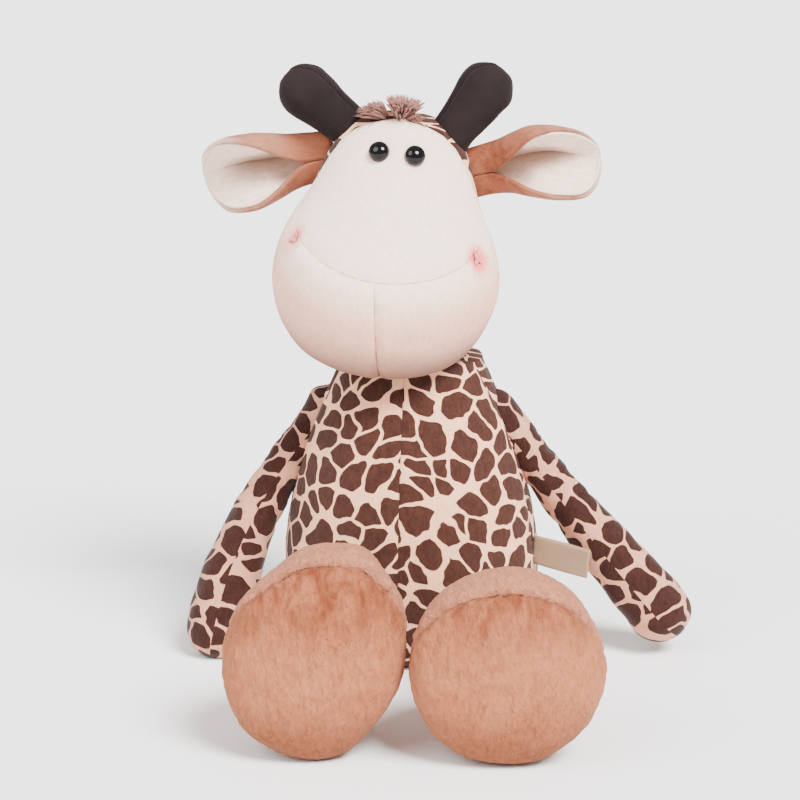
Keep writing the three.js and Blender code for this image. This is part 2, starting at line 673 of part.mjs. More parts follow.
// Legs and feet: a short spotted leg opens into the back of a big foot, which has a tan upper and
// a round tan sole.
for (const side of both) {
  const width = footWidth * (1 + footSlumpShares[side]);
  const height = footHeight * (1 - footSlumpShares[side]);
  const form = new Stuffed(footShares, width, height, footDepth);
  // The form rises away from the sole, so it is laid back, and then set down on the floor.
  const laid = new THREE.Matrix4().makeRotationX(radians(footPitch[side] - 90));
  const low = moved(form.solid(0, outer), laid).boundingBox().min;
  const hip = hips[side].position;
  const set = new THREE.Matrix4().makeTranslation(side * footSpread[side] - hip.x,
    -soleReach[side] - low[1] - hip.y, -floorCut - low[2] - hip.z).multiply(laid);
  const foot = (grow, facets) => moved(form.solid(grow, facets), set);
  const [ankleDrop, ankleDepth] = ankleShares;
  const ankle = new THREE.Vector3(0, ankleDrop * height, ankleDepth * footDepth).applyMatrix4(set);
  const spine = new THREE.LineCurve3(ankle.clone().setLength(legRadius).negate(), ankle);
  const leg = (grow, facets) => limb(spine, legRadius, legGirthShares, facets, grow);
  const floor = new THREE.Vector3(0, 0, -hip.z);
  const body = seenFrom(hips[side], bodyRoom, bodyFrame).subtract(socket(legRadius + fit));
  const turns = [...steps(-legLift, 0, 2), ...steps(0, legDrop, 3).slice(1)];
  const footOutside = clearOf(beyond(foot(0, outer), Z, floor), body, X, turns);
  const footShell = footOutside.subtract(beyond(foot(-plush, inner), Z, floor, plush));
  const soleSeam = new THREE.Vector3(0, 0, footDepth * soleSeamShare).applyMatrix4(set);
  const backwards = Z.clone().applyAxisAngle(X, radians(soleSeamSlope)).transformDirection(set);
  const upper = beyond(footShell, backwards, soleSeam, fit / 2).subtract(leg(fit, small));
  add(hips[side], `foot_upper_${sideName(side)}`, largest(upper), tanPlush);
  add(hips[side], `sole_${sideName(side)}`,
    largest(beyond(footShell, opposite(backwards), soleSeam, fit / 2)), tanPlush);
  const footFill = beyond(foot(-plush - fit, inner), Z, floor, plush + fit);
  add(hips[side], `foot_stuffing_${sideName(side)}`, largest(footFill), stuffing);
  const legOutside = clearOf(leg(0, small), body, X, turns);
  const inFoot = foot(-plush, inner);
  const legCover = largest(less(legOutside, leg(-plush, inner), inFoot));
  add(hips[side], `leg_${sideName(side)}`, legCover, spottedPlush);
  const legFill = leg(-plush - fit, inner).intersect(legOutside).subtract(inFoot);
  add(hips[side], `leg_stuffing_${sideName(side)}`, largest(legFill), stuffing);
}

// Tail: a thin sewn tube in the back panel, with a tuft of pile on its end.
const tailSpine = new THREE.LineCurve3(new THREE.Vector3(0, 0, -tailRadius),
  new THREE.Vector3(0, 0, tailLength));
const tailShape = (grow) => limb(tailSpine, tailRadius, tailGirthShares, small, grow);
const backAtTail = seenFrom(tail, bodyRoom, bodyFrame).subtract(socket(tailRadius + fit, tailSides));
const tailSide = Z.clone().transformDirection(tail.matrix.clone().invert());
add(tail, 'tail', clearOf(tailShape(0), backAtTail, tailSide, [-tailSwing, 0, tailSwing]), spottedPlush);
const tuftSpine = new THREE.LineCurve3(new THREE.Vector3(0, 0, tailLength - tuftLength / 2),
  new THREE.Vector3(0, 0, tailLength + tuftLength / 2));
const tuft = limb(tuftSpine, tuftRadius, tuftGirthShares, small);
add(tail, 'tail_tuft', largest(tuft.subtract(tailShape(fit))), hairPile);

// Label: a folded ribbon caught in the left side seam.
const label = frame(bodyFrame, bodyForm.side(sideSeam, labelRise), [Z, -labelTurn], [Y, labelDip]);
const labelBox = solidOf(new THREE.BoxGeometry(labelLength + plush, labelThickness, labelHeight))
  .translate([(labelLength - plush) / 2, 0, 0]);
const atLabel = seenFrom(label, bodySolid(fit, fine), bodyFrame);
add(label, 'label', clearOf(labelBox, atLabel, Z, [0, -labelFlap]), ribbon);

export default toy;
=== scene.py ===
"""A seated plush giraffe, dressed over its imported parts. Metres, +Z up; the toy faces -Y."""
import bisect
import random
from math import asin, atan2, cos, exp, hypot, pi, radians, sin, sqrt, tan

import bmesh
import bpy
from mathutils import Matrix, Vector
from mathutils.noise import noise


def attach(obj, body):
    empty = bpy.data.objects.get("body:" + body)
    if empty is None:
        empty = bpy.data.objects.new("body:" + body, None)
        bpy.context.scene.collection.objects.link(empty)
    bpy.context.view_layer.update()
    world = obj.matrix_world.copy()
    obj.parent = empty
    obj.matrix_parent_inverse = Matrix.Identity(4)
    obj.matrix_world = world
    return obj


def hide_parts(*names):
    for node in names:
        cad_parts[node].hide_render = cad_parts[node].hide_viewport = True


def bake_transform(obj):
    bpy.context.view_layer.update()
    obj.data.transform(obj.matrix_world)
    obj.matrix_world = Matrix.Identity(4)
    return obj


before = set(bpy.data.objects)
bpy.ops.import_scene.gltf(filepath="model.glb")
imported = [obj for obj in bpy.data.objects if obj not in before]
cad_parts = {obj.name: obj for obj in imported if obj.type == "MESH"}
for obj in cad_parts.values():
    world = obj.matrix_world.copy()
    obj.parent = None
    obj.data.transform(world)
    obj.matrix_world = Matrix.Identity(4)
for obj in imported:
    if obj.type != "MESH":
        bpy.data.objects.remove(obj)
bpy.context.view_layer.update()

# Camera: a long lens on a stand, square to the toy and a little above it, and far enough off that
# the feet in front look hardly larger than they are.
camera_lift = radians(14)
camera_distance = 1.2
camera_aim = Vector((-0.0055, 0, 0.128))


def added(name, data):
    """A new object in the scene."""
    made = bpy.data.objects.new(name, data)
    bpy.context.scene.collection.objects.link(made)
    return made


camera = added("camera", bpy.data.cameras.new("camera"))
camera.data.lens = 108
camera.data.sensor_width = 36
camera.data.clip_end = 20
camera.location = camera_aim + camera_distance * Vector(
    (0, -cos(camera_lift), sin(camera_lift)))
camera.rotation_euler = (pi / 2 - camera_lift, 0, 0)
bpy.context.scene.camera = camera

# Studio: a pale paper floor and a white surround that fills the shadows. The lamps are far off: a
# broad key, a broader fill, and two faint low ones that show as small lights in the eyes.
floor_size = 80


def filled(part, inputs):
    """Gives a node's inputs their values, or the sockets that they come from."""
    for key, value in inputs.items():
        if isinstance(value, bpy.types.NodeSocket):
            part.id_data.links.new(value, part.inputs[key])
        else:
            part.inputs[key].default_value = value


def finish_for(name):
    """A material, its shader, and where a point lies on its piece, in metres."""
    material = bpy.data.materials.new(name)
    material.use_nodes = True
    nodes = material.node_tree.nodes
    return material, nodes["Principled BSDF"], nodes.new("ShaderNodeTexCoord").outputs["Object"]


def srgb(red, green, blue):
    """A colour as a painter's chart gives it, in the light that the shader mixes."""
    return tuple((c / 255) ** 2.2 for c in (red, green, blue)) + (1,)


def lamp(name, place, width, power):
    """A distant lamp turned to the toy, as wide in degrees as it looks from there."""
    made = added(name, bpy.data.lights.new(name, "SUN"))
    made.data.angle, made.data.energy = radians(width), power
    made.location = place
    made.rotation_euler = (camera_aim - made.location).to_track_quat("-Z", "Y").to_euler()


floor_bm = bmesh.new()
bmesh.ops.create_grid(floor_bm, x_segments=1, y_segments=1, size=floor_size / 2)
floor_mesh = bpy.data.meshes.new("floor")
floor_bm.to_mesh(floor_mesh)
floor_bm.free()
added("floor", floor_mesh)
paper, paper_shader, place = finish_for("paper")
filled(paper_shader, {"Base Color": srgb(253, 252, 251), "Roughness": 0.9})
floor_mesh.materials.append(paper)
surround = bpy.data.worlds.new("surround")
surround.use_nodes = True
filled(surround.node_tree.nodes["Background"], {"Color": (1, 0.99, 0.98, 1), "Strength": 0.9})
bpy.context.scene.world = surround
lamp("key", (1.0, -1.3, 2.0), 24, 9)
lamp("fill", (-1.2, -1.0, 1.5), 40, 2.3)
lamp("low_left", (-0.2, -1.5, 0.03), 3, 0.2)
lamp("low_right", (0.22, -1.5, 0.03), 3, 0.2)

# Body: two front panels and a back one, cut from short-pile plush with a printed giraffe pattern,
# sewn together inside out, turned and stuffed hard. The seams draw in a little between the panels.
METRES = Matrix.Scale(0.001, 4)  # the pieces are cut and stuffed in millimetres
ON_GROUND = Matrix.Identity(4)
plush_thickness = 2.0
fibre_grain, tuft_grain, clump_grain = 1500, 420, 460
body_width, body_depth, body_height = 129, 113, 152
body_turn = -7
body_side_seam = -7
body_flat, seat_share = 0.5, 0.12
body_rows, body_columns = 130, 180
neck_low, neck_high = (0, 0, 0.132), (0, 0, 0.15)
body_shares = [  # height, half width, front, back
    (0, 0.56, -0.28, 0.34), (0.02, 0.76, -0.37, 0.43), (0.06, 0.87, -0.41, 0.48),
    (0.12, 0.94, -0.435, 0.51), (0.21, 0.985, -0.46, 0.527), (0.32, 1, -0.478, 0.522),
    (0.42, 0.97, -0.478, 0.5), (0.53, 0.925, -0.46, 0.465), (0.63, 0.87, -0.43, 0.434),
    (0.73, 0.8, -0.39, 0.407), (0.83, 0.71, -0.345, 0.385), (0.91, 0.625, -0.295, 0.363),
    (0.97, 0.56, -0.26, 0.345), (0.995, 0.5, -0.23, 0.325), (1, 0, 0.05, 0.05)]


def through(points, share):
    """The point at a share of the way along a smooth curve through points."""
    at = min(max(share, 0.0), 1.0) * (len(points) - 1)
    i = min(int(at), len(points) - 2)
    w = at - i
    near = points[max(i - 1, 0)], points[i], points[i + 1], points[min(i + 2, len(points) - 1)]
    return tuple(
        0.5 * (2 * b + (c - a) * w + (2 * a - 5 * b + 4 * c - d) * w ** 2
               + (3 * b - a - 3 * c + d) * w ** 3)
        for a, b, c, d in zip(*near))


def where(value, rising):
    """Where a rising function of 0 to 1 reaches a value."""
    low, high = 0.0, 1.0
    for halving in range(24):
        middle = (low + high) / 2
        low, high = (middle, high) if rising(middle) < value else (low, middle)
    return low


class Stuffed:
    """A form that swells and tapers as it rises, from a table of shares of its sizes."""

    def __init__(self, shares, width, depth, height):
        self.shares, self.width, self.depth, self.height = shares, width, depth, height

    def ring(self, share):
        """Half the width, half the depth, the middle and the rise of a ring."""
        rise, half, front, back = through(self.shares, share)
        return (half * self.width / 2, (back - front) * self.depth / 2,
                (back + front) * self.depth / 2, rise * self.height)

    def level(self, rise):
        """The ring at a height."""
        return self.ring(where(rise, lambda share: self.ring(share)[3]))

    def front(self, x, rise):
        """The point of the front at a height, that far to the side."""
        half, deep, middle, rise = self.level(rise)
        return Vector((x, middle - deep * sqrt(1 - min(1, (x / half) ** 2)), rise))

    def outward(self, x, rise):
        """The way that the front faces at such a point."""
        sideways = self.front(x + 2, rise) - self.front(x - 2, rise)
        return sideways.cross(self.front(x, rise + 2) - self.front(x, rise - 2)).normalized()


def lengths_along(points, apart):
    """How far it is to each point from the first, through those between."""
    lengths = [0]
    for a, b in zip(points, points[1:]):
        lengths.append(lengths[-1] + apart(a, b))
    return lengths


def even_rings(ring, low, high, count):
    """A form's rings, spaced evenly along its skin."""
    steps = 600
    shares = [low + (high - low) * i / steps for i in range(steps + 1)]
    lengths = lengths_along([ring(share) for share in shares], lambda a, b: hypot(
        a[0] - b[0], a[1] - b[1], a[3] - b[3]))
    chosen, i = [], 0
    for step in range(count + 1):
        target = lengths[-1] * step / count
        while i < len(lengths) - 2 and lengths[i + 1] < target:
            i += 1
        w = (target - lengths[i]) / max(lengths[i + 1] - lengths[i], 1e-9)
        chosen.append(ring(shares[i] + (shares[i + 1] - shares[i]) * w))
    return chosen


def shaped(bm, columns, rows, place, flat=None):
    """Adds a grid bent so that place(turn, share) gives its points, and shuts it where it meets.

    The turn goes once round, from the back, and the share from 0 to 1. flat(turn, share) gives
    where a point lay on the cloth."""
    cloth = bm.loops.layers.uv.get("cloth") or bm.loops.layers.uv.new("cloth")
    made = bmesh.ops.create_grid(bm, x_segments=columns, y_segments=rows, size=1)["verts"]
    turned = {v: (pi * v.co.x, (v.co.y + 1) / 2) for v in made}
    if flat:
        for v in made:
            for loop in v.link_loops:
                loop[cloth].uv = flat(*turned[v])
    for v, at in turned.items():
        v.co = place(*at)
    bmesh.ops.remove_doubles(bm, verts=made, dist=1e-3)


def turned_out(bm):
    """Makes the faces of a closed skin point outwards."""
    bmesh.ops.recalc_face_normals(bm, faces=bm.faces)


def wrapped(rings, columns):
    """A skin round the rings, drawn shut at both ends."""
    bm = bmesh.new()

    def place(turn, share):
        half, deep, middle, rise = rings[round(share * (len(rings) - 1))]
        return Vector((half * sin(turn), middle - deep * cos(turn), rise))
    shaped(bm, columns, len(rings) - 1, place)
    turned_out(bm)
    return bm


def scored(bm, point, normal, offsets=(-3, -1.5, -0.6, 0, 0.6, 1.5, 3)):
    """Adds edges along a plane and close beside it, for a seam's valley to form on."""
    for offset in offsets:
        bmesh.ops.bisect_plane(bm, geom=bm.verts[:] + bm.edges[:] + bm.faces[:], dist=1e-4,
                               plane_co=point + normal * offset, plane_no=normal)


def sorted_into(bm, kind_of):
    """Writes on each face which panel it belongs to."""
    kinds = bm.faces.layers.int.new("panel")
    for face in bm.faces:
        face[kinds] = kind_of(face.calc_center_median())


def pressed(bm, push):
    """Moves each point along its normal by push(place)."""
    bm.normal_update()
    for v, move in [(v, v.normal * push(v.co)) for v in bm.verts]:
        v.co += move


def panel_of(bm, kind):
    """One panel of a sorted skin."""
    part = bm.copy()
    kinds = part.faces.layers.int["panel"]
    bmesh.ops.delete(part, geom=[f for f in part.faces if f[kinds] != kind], context="FACES")
    return part


def cut_from(bm, flat):
    """Writes on a skin where each of its points lay on the flat cloth."""
    cloth = bm.loops.layers.uv["cloth"]
    for face in bm.faces:
        for loop in face.loops:
            loop[cloth].uv = flat(loop.vert.co)


def valley(distance, depth, width):
    """The push at a distance from a seam: inwards on it, with a soft roll beside it."""
    away = abs(distance) / width
    roll = 0.25 * exp(-((away - 3) / 1.5) ** 2)
    return depth * (roll - exp(-away))


def ramp(value, low, high):
    """0 up to low, 1 from high on, and smooth between."""
    w = min(max((value - low) / (high - low), 0.0), 1.0)
    return w * w * (3 - 2 * w)


def lumps(place, size, seed=0):
    """Soft unevenness of the filling, from -1 to 1, with lumps of about that size."""
    return noise(Vector(place) / size + Vector((seed * 7.3, seed * 3.1, seed * 5.7)))


def placed(bm, name, place, slot, material, cad):
    """The skin as an object in its place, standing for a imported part. None of it is underground."""
    bm.transform(METRES @ place)
    for v in bm.verts:
        v.co.z = max(v.co.z, 0)
    mesh = bpy.data.meshes.new(name)
    bm.to_mesh(mesh)
    bm.free()
    mesh.polygons.foreach_set("use_smooth", [True] * len(mesh.polygons))
    mesh.materials.append(material)
    made = added(name, mesh)
    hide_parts(cad)
    return made


def thickened(piece, thickness, lies=-1):
    """Gives cut cloth its thickness: inwards at -1, or half to each side at 0."""
    solid = piece.modifiers.new("thickness", "SOLIDIFY")
    solid.thickness, solid.offset = thickness / 1000, lies
    return piece


def standing(parent, place, *turns):
    """A frame at a place in its parent, turned about its own axes, in degrees."""
    made = parent @ Matrix.Translation(place)
    for axis, degrees in turns:
        made = made @ Matrix.Rotation(radians(degrees), 4, axis)
    return made


def on_cloth(place):
    """Where a point of the piece lay on the flat cloth."""
    flat = place.id_data.nodes.new("ShaderNodeUVMap")
    flat.uv_map = "cloth"
    return flat.outputs[0]


def node(kind, inputs, **settings):
    """Adds a node beside those that it takes its inputs from, and gives its first output."""
    beside = next(value for value in inputs.values() if isinstance(value, bpy.types.NodeSocket))
    made = beside.id_data.nodes.new("ShaderNode" + kind)
    for key, value in settings.items():
        setattr(made, key, value)
    filled(made, inputs)
    return made.outputs[0]


def mottle(place, scale, detail=2, **more):
    """Cloudy noise from 0 to 1."""
    return node("TexNoise", {"Vector": place, "Scale": scale, "Detail": detail, **more})


def calc(operation, *values, kind="Math"):
    """The result of an operation on values."""
    return node(kind, dict(enumerate(values)), operation=operation)


def spread(value, low, high, most=1):
    """A share from 0 to most, as a value goes from low to high."""
    return node("MapRange", {"Value": value, "From Min": low, "From Max": high, "To Max": most})


def dyed(share, low, high, way="MIX"):
    """One colour where the share is 0 and the other where it is 1."""
    return node("MixRGB", {0: share, 1: low, 2: high}, blend_type=way)


def shaded(fibres, tufts, light, dark):
    """Pile seen end on is darker than pile that lies flat."""
    return dyed(spread(calc("ADD", fibres, tufts), 0.75, 1.25), dark, light)


def bumpy(height, strength, distance, over=None):
    """The relief of a surface, laid over another where there is one."""
    inputs = {"Height": height, "Strength": strength, "Distance": distance}
    return node("Bump", {**inputs, "Normal": over} if over else inputs)


def plush(name, colour_of, nap=(1, 1, 0.45), fluff=0.35, clumps=0, sheen=0.12,
          sheen_tint=(1, 1, 1, 1)):
    """Short-pile cloth: matt, with a bloom at its edges and a fine nap, mostly lying downwards."""
    material, shader, place = finish_for(name)
    lying = node("Mapping", {"Vector": place, "Scale": nap})
    fibres = mottle(lying, fibre_grain, 3, Roughness=0.6)
    tufts = mottle(lying, tuft_grain, 2, Roughness=0.55)
    relief = bumpy(calc("ADD", fibres, tufts), fluff, 0.0006)
    if clumps:
        clumped = node("Mapping", {"Vector": place, "Scale": (1, 1, 0.45), "Rotation": (0, 0.7, 0.3)})
        relief = bumpy(mottle(clumped, clump_grain, 3, Distortion=0.6), clumps, 0.0014, relief)
    filled(shader, {"Base Color": colour_of(place, fibres, tufts), "Normal": relief,
                    "Roughness": 0.92, "Specular IOR Level": 0.15, "Sheen Weight": sheen,
                    "Sheen Roughness": 0.4, "Sheen Tint": sheen_tint})
    return material


spot_size = 0.0146
spot_colour, spot_dark = srgb(73, 46, 38), srgb(58, 35, 30)
print_cream, print_shade = srgb(246, 188, 153), srgb(230, 170, 136)


def giraffe_print(shift, painted_shade=(1, 1, 1, 1)):
    """Brown spots on cream, as the cloth was printed before it was cut, darkened by painted shade if
    given.
    """
    # the painted shade darkens both colours of the print
    def in_painted_shade(colour):
        return tuple(c * share for c, share in zip(colour, painted_shade))

    def colour_of(place, fibres, tufts):
        at = node("Mapping", {"Vector": on_cloth(place), "Location": (*shift, 0),
                              "Scale": (1 / spot_size, 1.12 / spot_size, 1)})
        bent = at
        for scale, detail, reach in ((0.42, 0, 1.1), (1.5, 1, 0.4)):
            drift = mottle(at, scale, detail).node.outputs["Color"]
            drift = calc("MULTIPLY", drift, (reach, reach, 0), kind="VectorMath")
            bent = calc("ADD", bent, drift, kind="VectorMath")
        near, far = (node("TexVoronoi", {"Vector": bent, "Scale": 1, "Randomness": 0.9},
                          voronoi_dimensions="2D", feature=which) for which in ("F1", "F2"))
        gap = calc("SUBTRACT", far, near)
        gap = calc("ADD", gap, calc("MULTIPLY", tufts, 0.05))
        gap = calc("SUBTRACT", gap, spread(near, 0.46, 0.8, 0.3))
        cream = shaded(fibres, tufts, in_painted_shade(print_cream), in_painted_shade(print_shade))
        brown = shaded(fibres, tufts, in_painted_shade(spot_colour), in_painted_shade(spot_dark))
        return dyed(spread(gap, 0.115, 0.15), cream, brown)
    return colour_of


body_form = Stuffed(body_shares, body_width, body_depth, body_height + body_flat)
body_frame = standing(ON_GROUND, (0, 0, 0), ("Z", body_turn))


def body_ring(share):
    """Below 0 the rings close over the flat seat."""
    half, deep, middle, rise = body_form.ring(share)
    seat = min(1, 1 + share / seat_share)
    return half * seat, deep * seat, middle, max(0, rise - body_flat)


body_rings = even_rings(body_ring, -seat_share, 1, body_rows)
body_levels = [ring for ring in body_rings if 0.1 < ring[3] < 0.992 * body_height]
body_bm = wrapped(body_rings, body_columns)
side_seam = Vector((0, body_side_seam, 0))
scored(body_bm, side_seam, Vector((0, 1, 0)))
scored(body_bm, side_seam, Vector((1, 0, 0)))
LEFT_FRONT, RIGHT_FRONT, BACK = 0, 1, 2
sorted_into(body_bm, lambda at: BACK if at.y > body_side_seam
            else LEFT_FRONT if at.x > 0 else RIGHT_FRONT)


def body_push(at):
    """Uneven filling, and seams that pucker down both sides and the belly. The seat stays flat."""
    uneven = 0.7 * lumps(at, 28) + 0.25 * lumps(at, 9, 1)
    pucker = 0.8 + 0.5 * lumps(at, 5, 2)
    sides = valley(at.y - body_side_seam, 0.9 * pucker, 1.6)
    belly = valley(at.x, 0.75 * pucker, 1.5) * ramp(-at.y, 5, 25)
    off_floor = ramp(at.z, 0, 6)
    return (uneven + sides + belly) * off_floor


pressed(body_bm, body_push)


def flat_on(rings, middle_turn):
    """Gives where a wrapped skin's points lay on the flat cloth, from the middle of a panel."""
    rises = [ring[3] for ring in rings]
    lengths = lengths_along(rings, lambda a, b: hypot(a[0] - b[0], a[3] - b[3]))

    def flat(at):
        low = min(max(bisect.bisect(rises, at.z) - 1, 0), len(rings) - 2)
        w = min(max((at.z - rises[low]) / max(rises[low + 1] - rises[low], 1e-6), 0), 1)
        half, deep, middle, rise = (a + (b - a) * w for a, b in zip(rings[low], rings[low + 1]))
        turn = atan2(at.x / half, (middle - at.y) / deep)
        turn = (turn - middle_turn + pi) % (2 * pi) - pi
        length = lengths[low] + (lengths[low + 1] - lengths[low]) * w
        length += half * max(0, 1 - hypot(at.x / half, (middle - at.y) / deep))
        return half * turn / 1000, length / 1000
    return flat


body_panels = [  # panel, name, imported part, where its middle faces, where it was cut from the print
    (LEFT_FRONT, "body_panel_front_left", "body_front_left", pi / 4, (3.1, 1.7)),
    (RIGHT_FRONT, "body_panel_front_right", "body_front_right", -pi / 4, (8.4, 5.2)),
    (BACK, "body_panel_back", "body_back", pi, (14.6, 9.9))]
for kind, name, cad, middle_turn, shift in body_panels:
    part = panel_of(body_bm, kind)
    cut_from(part, flat_on(body_levels, middle_turn))
    cloth = plush(name + "_plush", giraffe_print(shift))
    panel = placed(part, name, body_frame, "spotted_plush", cloth, cad)
    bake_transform(panel)
    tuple(neck_low)
    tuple(neck_high)
    thickened(panel, plush_thickness)
body_bm.free()

# Neck: the body's printed cloth, gathered over a firm wad. The head is drawn down on it.
neck_place, neck_radius = (-4, 6, body_height - 2), 30.2
neck_rows, neck_columns = 60, 120
neck_frame = standing(body_frame, neck_place)
neck_turns = [pi * i / neck_rows for i in range(neck_rows + 1)]
neck_rings = [(neck_radius * sin(turn), neck_radius * sin(turn), 0,
               -neck_radius * cos(turn)) for turn in neck_turns]
neck_bm = wrapped(neck_rings, neck_columns)


def ripple(turn, count, seed):
    """Unevenness round a ring, with more bumps for a higher count."""
    return noise(Vector((cos(turn) * count, sin(turn) * count, seed)))


def neck_push(at):
    """Soft pleats, deepest where the cloth is drawn in under the head."""
    pleat = ripple(atan2(at.y, at.x), 5, 2)
    return -abs(pleat) * 1.8 * ramp(at.z, -2, 8) + 0.3 * min(0, lumps(at, 9, 71))


pressed(neck_bm, neck_push)
cut_from(neck_bm, lambda at: (
    neck_radius * atan2(at.x, -at.y) / 1000,
    neck_radius * asin(max(-1, min(1, at.z / neck_radius))) / 1000))
neck_plush = plush("neck_plush", giraffe_print((27.3, 6.1)))
neck = placed(neck_bm, "neck_gather", neck_frame, "spotted_plush", neck_plush, "neck_wad")
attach(neck, "neck")

# Head: a cream face above the smile of the mouth's seam, the muzzle's two halves below it, and
# a spotted back that shows as a thin band round the face. It is stuffed hard and pressed down
# on the neck.
collar_room, collar_radius = 30.8, 38
head_width, head_depth, head_height = 111, 104.5, 124.5
chin = Vector((-12.5, -6, -3))
face_seam_at, face_seam_slope = -11, radians(11)
mouth_rise, mouth_slope = 57.5, radians(25)
head_shares = [
    (0, 0, -0.19, -0.19), (0.012, 0.4, -0.42, 0.04), (0.035, 0.57, -0.49, 0.125),
    (0.075, 0.715, -0.555, 0.21), (0.125, 0.815, -0.6, 0.268), (0.18, 0.895, -0.628, 0.306),
    (0.26, 0.966, -0.646, 0.335), (0.34, 1, -0.642, 0.35), (0.42, 0.99, -0.613, 0.354),
    (0.5, 0.945, -0.56, 0.35), (0.565, 0.88, -0.502, 0.344), (0.63, 0.795, -0.435, 0.34),
    (0.7, 0.72, -0.373, 0.335), (0.77, 0.665, -0.32, 0.33), (0.84, 0.605, -0.273, 0.316),
    (0.905, 0.52, -0.22, 0.278), (0.955, 0.41, -0.158, 0.225), (0.985, 0.27, -0.086, 0.153),
    (1, 0, 0.03, 0.03)]
head_form = Stuffed(head_shares, head_width, head_depth, head_height)
head_frame = standing(neck_frame, (0, 0, 0), ("Z", 3), ("Y", 6))
on_head = head_frame @ Matrix.Translation(chin)  # measured from the chin

SIDES = ((1, "left"), (-1, "right"))
eye_spread, eye_rise, eye_dimple = 8.6, head_height - 17, 1.3
nostril_spread, nostril_rise = 44.5, 63
star_angles = (1.75, 3.6, 5.6)
eye_points = [head_form.front(side * eye_spread, eye_rise) for side, name in SIDES]
nostril_points = [head_form.front(side * nostril_spread, nostril_rise) for side, name in SIDES]
nostril_ways = [head_form.outward(side * nostril_spread, nostril_rise) for side, name in SIDES]

head_rows, head_columns = 120, 170
head_rings = even_rings(head_form.ring, 0, 1, head_rows)
head_bm = wrapped(head_rings, head_columns)
crown = Vector((0, face_seam_at, head_height))
face_seam = Vector((0, cos(face_seam_slope), sin(face_seam_slope)))
mouth = Vector((0, -head_depth / 2, mouth_rise))
mouth_seam = Vector((0, -sin(mouth_slope), cos(mouth_slope)))
chin_seam_at, chin_seam_turn = mouth + Vector((-3, 0, 0)), radians(7.3)
chin_seam = Vector((cos(chin_seam_turn), 0, sin(chin_seam_turn)))
scored(head_bm, crown, face_seam)
scored(head_bm, mouth, mouth_seam)
scored(head_bm, chin_seam_at, chin_seam)
FACE, MUZZLE_LEFT, MUZZLE_RIGHT, HEAD_BACK = 0, 1, 2, 3


def head_kind(at):
    """The panel that a point of the head belongs to."""
    if (at - crown).dot(face_seam) > 0:
        return HEAD_BACK
    if (at - mouth).dot(mouth_seam) > 0:
        return FACE
    return MUZZLE_LEFT if (at - chin_seam_at).dot(chin_seam) > 0 else MUZZLE_RIGHT


sorted_into(head_bm, head_kind)


def up(rise):
    return Vector((0, 0, rise))


def tuck(at, centre, way):
    """Three short creases that meet where a nostril's stitches are pulled tight."""
    flat = at - centre
    across = way.cross(up(1)).normalized()
    x, z = flat.dot(across), flat.dot(across.cross(way).normalized())
    reach = hypot(x, z)
    if reach > 16:
        return 0
    depth = 1.6 * exp(-(reach / 2.4) ** 2)
    for angle in star_angles:
        along = x * cos(angle) + z * sin(angle)
        off = abs(z * cos(angle) - x * sin(angle))
        if along > 0:
            depth += 1.1 * exp(-off / 0.9) * (1 - ramp(along, 2.5, 6.5))
    return -depth + 0.5 * exp(-((reach - 7) / 3) ** 2)


def head_push(at):
    """Uneven filling, the seams' valleys, and the dimples of eyes and nostrils."""
    pucker = 0.8 + 0.6 * lumps(at, 4.5, 3)
    to_face, to_mouth = (at - crown).dot(face_seam), (at - mouth).dot(mouth_seam)
    front = ramp(-to_face, 2, 14)
    push = 0.6 * lumps(at, 30, 4) + 0.12 * lumps(at, 8, 5)
    push += valley(to_face, 1.0 * pucker, 1.5)
    push += valley(to_mouth, 1.9 * pucker, 1.6) * front * (1 - 0.9 * ramp(abs(at.x), 32, 46))
    below = ramp(-to_mouth, -1, 3)
    push += valley((at - chin_seam_at).dot(chin_seam), 1.8 * pucker, 1.5) * below * ramp(-at.y, -5, 20)
    for centre in eye_points:
        push -= eye_dimple * exp(-((at - centre).length / 6.5) ** 2)
    for centre, way in zip(nostril_points, nostril_ways):
        push += tuck(at, centre, way)
    return push


def seated(bm):
    """Lifts the underside clear of the neck and of the body's top, which it rests on."""
    for v in bm.verts:
        at = v.co + chin
        reach = hypot(at.x, at.y)
        if at.z < 25 and reach < collar_radius + 10:
            seat = 2.8 - 6 * ramp(reach, collar_radius - 3, collar_radius + 10)
            if reach < collar_room:
                seat = max(seat, sqrt(collar_room ** 2 - reach ** 2))
            v.co.z = max(v.co.z, seat - chin.z)


pressed(head_bm, head_push)
seated(head_bm)
cream_light, cream_dark = srgb(255, 229, 213), srgb(243, 211, 194)
# The muzzle's colour is a warmer cream with painted shade in it; the chin's colour is painted shade.
muzzle_tint_and_shade, chin_painted_shade, blush_colour = srgb(240, 208, 194), srgb(138, 120, 113), srgb(244, 104, 96)


def eased(value, low, high, most=1):
    """A spread share with soft ends."""
    share = spread(value, low, high, most)
    share.node.interpolation_type = "SMOOTHSTEP"
    return share


def face_colour(place, fibres, tufts):
    """Cream plush, warm with painted shade under the muzzle, and pink rubbed in round each nostril."""
    colour = shaded(fibres, tufts, cream_light, cream_dark)
    above = (METRES @ on_head).to_3x3() @ mouth_seam
    off = calc("SUBTRACT", place, METRES @ on_head @ mouth, kind="VectorMath")
    off = calc("DOT_PRODUCT", off, above.normalized(), kind="VectorMath")
    off = off.node.outputs["Value"]
    # painted shade: darker below the mouth's seam, and darkest at the chin
    for start, end, warmth_and_shade in ((0.002, -0.022, muzzle_tint_and_shade), (-0.022, -0.058, chin_painted_shade)):
        colour = dyed(eased(off, start, end), colour, warmth_and_shade, "MULTIPLY")
    for centre, rubbed in zip(nostril_points, (0.9, 0.55)):
        away = calc("DISTANCE", place, METRES @ on_head @ centre, kind="VectorMath")
        ragged = calc("MULTIPLY", tufts, 0.003)
        away = calc("ADD", away.node.outputs["Value"], ragged)
        colour = dyed(eased(away, 0.0125, 0.0045, rubbed), colour, blush_colour)
    return colour


